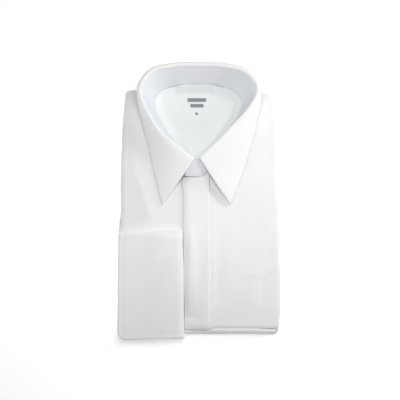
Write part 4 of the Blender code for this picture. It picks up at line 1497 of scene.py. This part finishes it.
@dataclass
class Cuff(ClothPiece):
    """Turned-back double cuff: one cloth folded at the wrist and along its crease."""

    free_x: float = -103.5
    fold_x: Pair = (-22.0, -19.8)
    crease_y: Pair = (-45.5, -43.6)
    open_y: Pair = (-181.4, -178.4)
    corner: float = 11.0
    ply_gap: float = 0.4
    inner_x: float = -97.0
    under_x: float = -90.0
    under_fold: float = 4.0
    bulge: Pair = (0.35, 0.25)
    bulge_reach: float = 11.0
    roll: Pair = (3.0, 4.2)         # height of the full wrist fold: low end, crease
    roll_reach: Pair = (7.0, 8.4)
    roll_y: Pair = (-125.0, -65.0)
    roll_fade: float = 62.0         # how far its inner side takes to fall
    roll_at_fold: float = 0.15      # what is left of its height at the fold itself
    roll_at_crease: Pair = (0.45, 8.0)      # and at the crease, and how far from there it is full
    flat_x: float = -70.0
    slack: float = 0.5
    pinch: float = 1.8              # how far the wrist fold draws in near the crease
    pinch_at: Pair = (0.88, 0.13)
    crease_part: float = 0.12
    fold_part: float = 0.06
    stitch_inset: float = 5.0
    stitch_sink: float = 0.42       # depth of the dent that the stitches pull
    stitch_width: float = 1.3
    seam_roll: float = 0.22         # height of the cloth between them and the edge
    seam_roll_width: float = 1.5
    crease_roll: float = 0.25
    crease_roll_at: Pair = (3.5, 3.0)       # its distance from the crease, and its width
    shows_ply: Pair = (0.45, 0.10)  # where the relief ends on the way to the folds, and how softly
    shows_path: Pair = (0.42, 0.12)
    wave: Uneven = Uneven(0.20, 34.0, 35)
    pitch: float = CUFF_WALL + ply_gap      # from the middle of one ply to the next
    rounding: tuple[float, ...] = (0.0, 0.0015, 0.004, 0.008, 0.013, 0.02, 0.028)
    ply_steps: tuple[int, ...] = (0, 45, 57, 86)
    path_steps: tuple[int, ...] = (*range(len(rounding)), 65, 77, 116)

    def seat(self, x: Reach, y: Reach) -> Array:
        """Height of the underside of the cuff, which is stiffer than the panel under it.

        Args:
            x: Places in x.
            y: Places in y, which may be past the hem fold.

        Returns:
            The height over the floor.
        """
        x = np.where(x < self.flat_x, self.flat_x + 0.5 * (x - self.flat_x), x)
        y_on = np.maximum(y, BODY.hem_y)
        fall = BODY.top_height(x, BODY.hem_y + 1.0) - BODY.top_height(x, BODY.hem_y)
        slope = fall * np.minimum(y - BODY.hem_y, 0.0)
        return BODY.top_height(x, y_on) + BODY.hollow(x, y_on) + slope + ON_PANEL + self.slack

    def edge_y(self, ends: Pair, x: Array) -> Array:
        """An edge of the cuff between its y at the free edge and at the wrist fold."""
        return blend(*ends, (x - self.free_x) / (self.fold_x[0] - self.free_x))

    def middle(self, ply: Array, path: Array) -> Array:
        """Middle of the cuff's cloth.

        Args:
            ply: 0 at the free edge, over the outer ply to the fold at 0.5, and back to 1.
            path: 0 at the opening edge, over the top half to the crease at 0.5, and back to 1.

        Returns:
            The points.
        """
        ply, path = np.broadcast_arrays(ply, path)
        low = 0.5 - self.crease_part
        along = np.minimum(np.minimum(path, 1.0 - path) / low, 1.0)
        turn = math.pi * np.clip((path - low) / (2.0 * self.crease_part), 0.0, 1.0)
        under = smooth(turn / math.pi)
        fold_x = blend(self.fold_x[1], self.fold_x[0], along) - self.under_fold * under
        fold_x = fold_x - self.pinch * hump(along, *self.pinch_at)
        bulge = blend(self.bulge[1], self.bulge[0], smooth(along)) * (1.0 - under)
        from_open = along * (self.crease_y[0] - self.open_y[0])
        short = np.maximum(self.corner - from_open, 0.0)
        outer_x = blend(self.free_x, self.under_x, under)
        outer_x = outer_x + self.corner - np.sqrt(self.corner ** 2 - short ** 2)
        inner_x = blend(self.inner_x, self.under_x, under)
        flat = 0.5 - self.fold_part
        bend = math.pi * np.clip((ply - flat) / (2.0 * self.fold_part), 0.0, 1.0)
        turn_x = fold_x - self.pitch
        x = np.where(ply < flat, blend(outer_x, turn_x, ply / flat),
                     np.where(ply > 1.0 - flat, blend(inner_x, turn_x, (1.0 - ply) / flat),
                              turn_x + self.pitch * np.sin(bend)))
        near = hump(x, fold_x, self.bulge_reach)
        offset = self.pitch + 0.5 * np.cos(bend) * (self.pitch + 2.0 * bulge * near)
        y = blend(self.edge_y(self.open_y, x), self.edge_y(self.crease_y, x) - self.pitch, along)
        y = y + offset * np.sin(turn)
        over = 2.0 * CUFF_WALL + 1.5 * self.ply_gap + offset * np.cos(turn)
        return np.stack((x, y, self.seat(x, y) + over + bulge * near), axis=-1)

    def full_fold(self, x: Array, y: Array) -> Array:
        """Height of the soft full cloth beside the wrist fold, which it falls to in a curve.

        Args:
            x: Places in x.
            y: Places in y.

        Returns:
            The height.
        """
        high = step_between(*self.roll_y, y)
        height, reach = blend(*self.roll, high), blend(*self.roll_reach, high)
        from_fold = np.maximum(self.fold_x[1] - x, 0.0)
        rise = np.sin(0.5 * math.pi * np.clip(from_fold / reach, 0.0, 1.0))
        fade = 1.0 - smooth((from_fold - reach) / self.roll_fade)
        left, distance = self.roll_at_crease
        at_crease = blend(left, 1.0, smooth((self.crease_y[0] - y) / distance))
        return height * blend(self.roll_at_fold, 1.0, rise) * fade * at_crease

    def parameters(self) -> Line:
        """Fine steps of the cuff's two ways, with finer ones round its folds and its corner.

        Returns:
            The steps of ply and of path.
        """
        flat, low = 0.5 - self.fold_part, 0.5 - self.crease_part
        return (steps_through(self.ply_steps, (0.0, flat, 1.0 - flat, 1.0)),
                steps_through(self.path_steps, (*self.rounding, low, 1.0 - low, 1.0)))

    def free_distance(self, x: Array, y: Array) -> Array:
        """Distance of places on the top half from its free edge and opening edge.

        Args:
            x: Places in x.
            y: Places in y.

        Returns:
            The distance.
        """
        from_free, from_open = x - self.free_x, y - self.edge_y(self.open_y, x)
        in_corner = (from_free < self.corner) & (from_open < self.corner)
        rounded = self.corner - np.hypot(self.corner - from_free, self.corner - from_open)
        return np.where(in_corner, rounded, np.minimum(from_free, from_open))

    def draft(self) -> MeshDraft:
        """Build the cuff, with the dent of its stitches and a little unevenness on top.

        Returns:
            Its draft.
        """
        ply, path = self.parameters()
        ply = ply[:, None]
        grid = self.middle(ply, path)
        x, y = grid[..., 0], grid[..., 1]
        inset = self.free_distance(x, y)
        from_crease, crease_width = self.crease_roll_at
        relief = (self.wave.at(x, y) + self.full_fold(x, y)
                  + self.seam_roll * hump(inset, self.stitch_inset / 2.0, self.seam_roll_width)
                  - self.stitch_sink * hump(inset, self.stitch_inset, self.stitch_width)
                  + self.crease_roll * hump(y, self.crease_y[0] - from_crease, crease_width))
        shows = 1.0
        for part, (end, ease) in ((ply, self.shows_ply), (path, self.shows_path)):
            shows = shows * (1.0 - smooth((part - end) / ease))
        return wall_round(grid, CUFF_WALL, relief * shows)

    def stitches(self) -> Line:
        """Stitches inside the free edge and the opening edge.

        Returns:
            Their line.
        """
        middle_x, middle_y = self.free_x + self.corner, self.open_y[0] + self.corner
        radius = self.corner - self.stitch_inset
        turn = np.linspace(math.pi, 1.5 * math.pi, 12)[1:-1]
        x_low = np.linspace(middle_x, self.fold_x[1] - 2.0, 60)
        x = np.concatenate((np.full(90, middle_x - radius), middle_x + radius * np.cos(turn),
                            x_low))
        y = np.concatenate((np.linspace(self.crease_y[0] - self.stitch_inset, middle_y, 90),
                            middle_y + radius * np.sin(turn),
                            self.edge_y(self.open_y, x_low) + self.stitch_inset))
        over = 2.5 * CUFF_WALL + 1.5 * (self.ply_gap + self.pitch) - self.stitch_sink
        bulge = 2.0 * self.bulge[1] * hump(x, self.fold_x[1], self.bulge_reach)
        z = self.seat(x, y) + over + bulge + self.full_fold(x, y)
        return np.column_stack((x, y, z)), np.tile((0.0, 0.0, 1.0), (len(x), 1))


@dataclass
class SleeveEnd(ClothPiece):
    """End of the sleeve, from inside the cuff round the side fold to the floor."""

    start_x: float = -90.8
    low_y: float = -176.0
    high_y: float = -48.0
    flare: float = 36.0
    reach: float = 10.2
    over_seat: float = 1.2
    over_seat_high: float = 0.25    # its upper end lies closer to the side fold
    closer: float = 0.35
    closer_from: Pair = (0.72, 0.96)
    foot: float = 1.0
    turn: float = 156.0
    folds: Uneven = Uneven(0.30, 15.0, 37)
    folds_length: float = 20.0      # how far they run round it
    flare_low: float = 0.15         # the part of its flare that its lower end has
    lines: int = 64
    inside_steps: int = 5
    steps: int = 27

    def draft(self) -> MeshDraft:
        """Build the end of the sleeve, with soft folds that run round it.

        Returns:
            Its draft.
        """
        inside = self.inside_steps
        turns = steps_through((0, inside, inside + self.steps), (-1.0, 0.0, 1.0))
        part = np.linspace(0.0, 1.0, self.lines)[:, None]
        flare = self.flare * smooth(turns)
        y = blend(self.low_y + self.flare_low * flare, self.high_y + flare, part)
        side_x = -BODY.half_width(y, -1.0)
        close = step_between(*self.closer_from, part)
        start = CUFF.seat(side_x, y) + blend(self.over_seat, self.over_seat_high, close)
        x_in = blend(side_x, self.start_x, -turns)
        z_in = blend(start, CUFF.seat(x_in, y) + self.over_seat, -turns)
        angle = math.radians(self.turn) * np.maximum(turns, 0.0)
        folds = self.folds.at(y, self.folds_length * turns) * smooth(3.0 * turns)
        half = (start - self.foot) / 2.0
        x_out = side_x - (self.reach - self.closer * close + folds) * np.sin(angle)
        z_out = self.foot + half + half * np.cos(angle)
        x, z = (np.where(turns > 0.0, *ways) for ways in ((x_out, x_in), (z_out, z_in)))
        return wall_round(np.stack((x, y, z), axis=-1), SLEEVE_WALL)


@dataclass
class StitchRow:
    """A row of lockstitches: short stretches of thread that dive into the cloth."""

    name: str
    slot: Slot
    pitch: float = 2.8
    length: float = 2.1
    radius: float = 0.21
    sides: int = 6
    # Rings of a stitch: part of its length, part of its radius, height over the cloth
    rings: Rows = (
        (-0.5, 0.35, -0.20), (-0.34, 1.0, 0.02), (0.0, 1.05, 0.08), (0.34, 1.0, 0.02),
        (0.5, 0.35, -0.20))

    def add(self, *lines: Line) -> None:
        """Add the stitches to the scene, along one or more lines.

        Args:
            *lines: The lines.
        """
        draft = MeshDraft()
        turn = np.arange(self.sides)[:, None] * 2.0 * math.pi / self.sides
        for line, outward in lines:
            run = np.concatenate(([0.0], np.linalg.norm(np.diff(line, axis=0), axis=1).cumsum()))
            places = np.arange(self.pitch, run[-1] - self.pitch, self.pitch)
            at, ahead, up = (
                np.stack([np.interp(place, run, column) for column in values.T], axis=1)
                for place, values in ((places, line), (places + 0.5, line), (places, outward)))
            along, up = unit(ahead - at), unit(up)
            for centre, way, side, rise in zip(at, along, unit(np.cross(along, up)), up):
                round_it = self.radius * (np.cos(turn) * side + np.sin(turn) * rise)
                draft.add_tube([centre + way * step * self.length + rise * over + width * round_it
                                for step, width, over in self.rings], closed=True)
        draft.build(self.name, THREAD, self.slot)


@dataclass
class PrintedMark:
    """Plain mark printed inside the neck: two short bars and a dot, with no words."""

    # Middle x y, half width, half height
    bars: Rows = ((-3.2, 136.6, 12.4, 2.6), (-3.2, 128.4, 8.8, 2.4))
    dot: Triple = (-3.6, 117.0, 1.9)
    over: float = 0.10
    thickness: float = 0.06

    def patch(self, draft: MeshDraft, x: Array, y: Array) -> None:
        """Add one thin closed patch of ink on the inner yoke."""
        base = INNER_YOKE.top(*np.broadcast_arrays(x, y))
        draft.add_wall(base + (0.0, 0.0, self.over + self.thickness), base + (0.0, 0.0, self.over))

    def add(self) -> None:
        """Add the mark to the scene."""
        draft = MeshDraft()
        for x, y, half_x, half_y in self.bars:
            self.patch(draft, x + half_x * np.linspace(-1.0, 1.0, 15)[:, None],
                       y + half_y * np.linspace(-1.0, 1.0, 5))
        x, y, radius = self.dot
        turn = np.linspace(-0.5 * math.pi, 0.5 * math.pi, 9)[:, None]
        self.patch(draft, x + radius * np.cos(turn) * np.linspace(-1.0, 1.0, 7),
                   y + radius * np.sin(turn))
        draft.build("plain_neck_mark", INK, Slot.INSIDE)


@dataclass
class Studio:
    """Paper floor, lamps and camera, with places and sizes in metres."""

    elevation: float = 78.0
    distance: float = 1.25
    target: Triple = (0.00095, -0.0014, 0.025)
    sensor: float = 36.0
    field: float = 0.52     # what the frame spans at the target
    # Floor from its middle out, swept up all round: radius, height
    sweep: Rows = ((1.0, 0.0), (2.2, 0.0), (2.55, 0.04), (2.85, 0.16), (3.05, 0.40), (3.12, 1.0))
    around: int = 96
    air: float = 0.05
    # Square lamps that face the shirt: name, place, power, size
    lamps: tuple[tuple[str, Triple, float, float], ...] = (
        ("key_softbox", (0.756, 0.147, 0.359), 1.30, 0.22),
        ("high_softbox", (0.548, 0.384, 0.602), 2.05, 0.25),
        ("top_softbox", (0.0, 0.0, 0.55), 1.66, 0.275),
        ("left_reflector", (-0.781, 0.209, 0.588), 1.2, 0.40),
    )

    def place(self, name: str, item: bpy.types.Camera | bpy.types.Light, place: Vector,
              back: Vector) -> bpy.types.Object:
        """Put the camera or a lamp in the scene.

        Args:
            name: Its name.
            item: The camera or the lamp.
            place: Where it stands.
            back: Direction that it faces away from.

        Returns:
            Its object.
        """
        holder = bpy.data.objects.new(name, item)
        holder.location = place
        holder.rotation_euler = back.to_track_quat("Z", "Y").to_euler()
        bpy.context.scene.collection.objects.link(holder)
        return holder

    def add_floor(self) -> None:
        """Lay the paper floor, which glows as painted light."""
        turn = np.arange(self.around) * 2.0 * math.pi / self.around
        round_it = np.column_stack((np.cos(turn), np.sin(turn), np.ones(self.around)))
        sheet = MeshDraft()
        sheet.add_tube([round_it * (radius, radius, height) / MM for radius, height in self.sweep],
                       closed=False)
        # The paper's glow is painted light that keeps shadows on the floor faint
        sheet.build("paper_floor", PAINTED_GLOW_PAPER)

    def add_camera(self) -> None:
        """Set up the camera over the hem end, looking down steeply."""
        lens = bpy.data.cameras.new("view_camera")
        lens.sensor_width = self.sensor
        lens.lens = self.sensor * self.distance / self.field
        tilt = math.radians(self.elevation)
        back = Vector((0.0, -math.cos(tilt), math.sin(tilt)))
        bpy.context.scene.camera = self.place(
            "view_camera", lens, Vector(self.target) + back * self.distance, back)

    def add_light(self) -> None:
        """Light the shirt with soft lamps, and faintly from all round."""
        for name, place, power, size in self.lamps:
            lamp = bpy.data.lights.new(name, "AREA")
            lamp.energy, lamp.shape, lamp.size = power, "SQUARE", size
            self.place(name, lamp, Vector(place), Vector(place)).visible_camera = False
        world = bpy.data.worlds.new("studio_air")
        world.use_nodes = True
        background = world.node_tree.nodes["Background"]
        background.inputs["Color"].default_value = linear("F8FCFB")
        background.inputs["Strength"].default_value = self.air
        bpy.context.scene.world = world

    def add(self) -> None:
        """Set up the whole studio."""
        self.add_floor()
        self.add_camera()
        self.add_light()
        bpy.context.scene.view_settings.view_transform = "Standard"


STACK = FoldedStack("folded_stack_cloth", "folded_layers", Slot.INSIDE, POPLIN, (0.215, 0.345),
                    None, Held.FOLDED)
RIGHT_FRONT = Front("right_front_cloth", "front_right", Slot.POPLIN, POPLIN, (0.125, 0.325), 0.036,
                    Held.LAID, ("folded_layers",), Side.RIGHT, (4.0, -19.0, -60.0, -94.0))
LEFT_FRONT = Front("left_front_cloth", "front_left", Slot.POPLIN, POPLIN, (0.14, 0.325), 0.040,
                   Held.LAID, ("front_right", "folded_layers"), Side.LEFT,
                   (-19.0, 11.5, 57.0, 94.0), pitch=1.4)
FLY = Fly("fly_cloth", "placket", Slot.POPLIN, POPLIN, (0.0335, 0.205), None, Held.LAID,
          ("front_left",), Side.LEFT, (-19.8, -16.0, 13.5))
YOKE = Yoke("yoke_cloth", "yoke", Slot.POPLIN, POPLIN, (0.21, 0.055), 0.0062, Held.FOLDED,
            ("folded_layers",))
INNER_YOKE = InnerYoke("inner_yoke_cloth", "yoke_lining", Slot.INSIDE, INSIDE_POPLIN,
                       (0.125, 0.125), 0.0105, Held.LAID, ("folded_layers",))
# The band's finish is darker as painted shade for the shade inside the collar
STAND = CollarStand("collar_stand_cloth", "collar_stand", Slot.COLLAR, SHADED_BAND_POPLIN, (0.44, 0.034),
                    0.0105, Held.FOLDED, ("front_left", "yoke"))
LEAF = CollarLeaf("collar_leaf_cloth", "collar_leaf", Slot.COLLAR, FUSED_POPLIN, (0.50, 0.085),
                  0.027, Held.FOLDED, ("collar_stand",))
CUFF = Cuff("double_cuff", "cuff", Slot.CUFF, CUFF_POPLIN, (0.158, 0.276), None, Held.FOLDED,
            ("front_right",))
SLEEVE = SleeveEnd("sleeve_end_cloth", "sleeve", Slot.POPLIN, POPLIN, (0.04, 0.16), 0.0052,
                   Held.FOLDED, ("folded_layers",))


def main() -> None:
    """Build the shirt from the floor up, its stitches and the studio."""
    logging.basicConfig(level=logging.INFO, format="%(name)s: %(message)s")
    for piece in (STACK, RIGHT_FRONT, LEFT_FRONT, FLY, YOKE, INNER_YOKE, STAND, LEAF, CUFF, SLEEVE):
        piece.add()
    StitchRow("fly_stitches", Slot.POPLIN).add(LEFT_FRONT.stitches())
    StitchRow("yoke_stitches", Slot.POPLIN).add(*(YOKE.stitches(side) for side in Side))
    StitchRow("stand_stitches", Slot.COLLAR).add(STAND.stitches())
    StitchRow("cuff_stitches", Slot.CUFF).add(CUFF.stitches())
    PrintedMark().add()
    Studio().add()


if __name__ == "__main__":
    main()
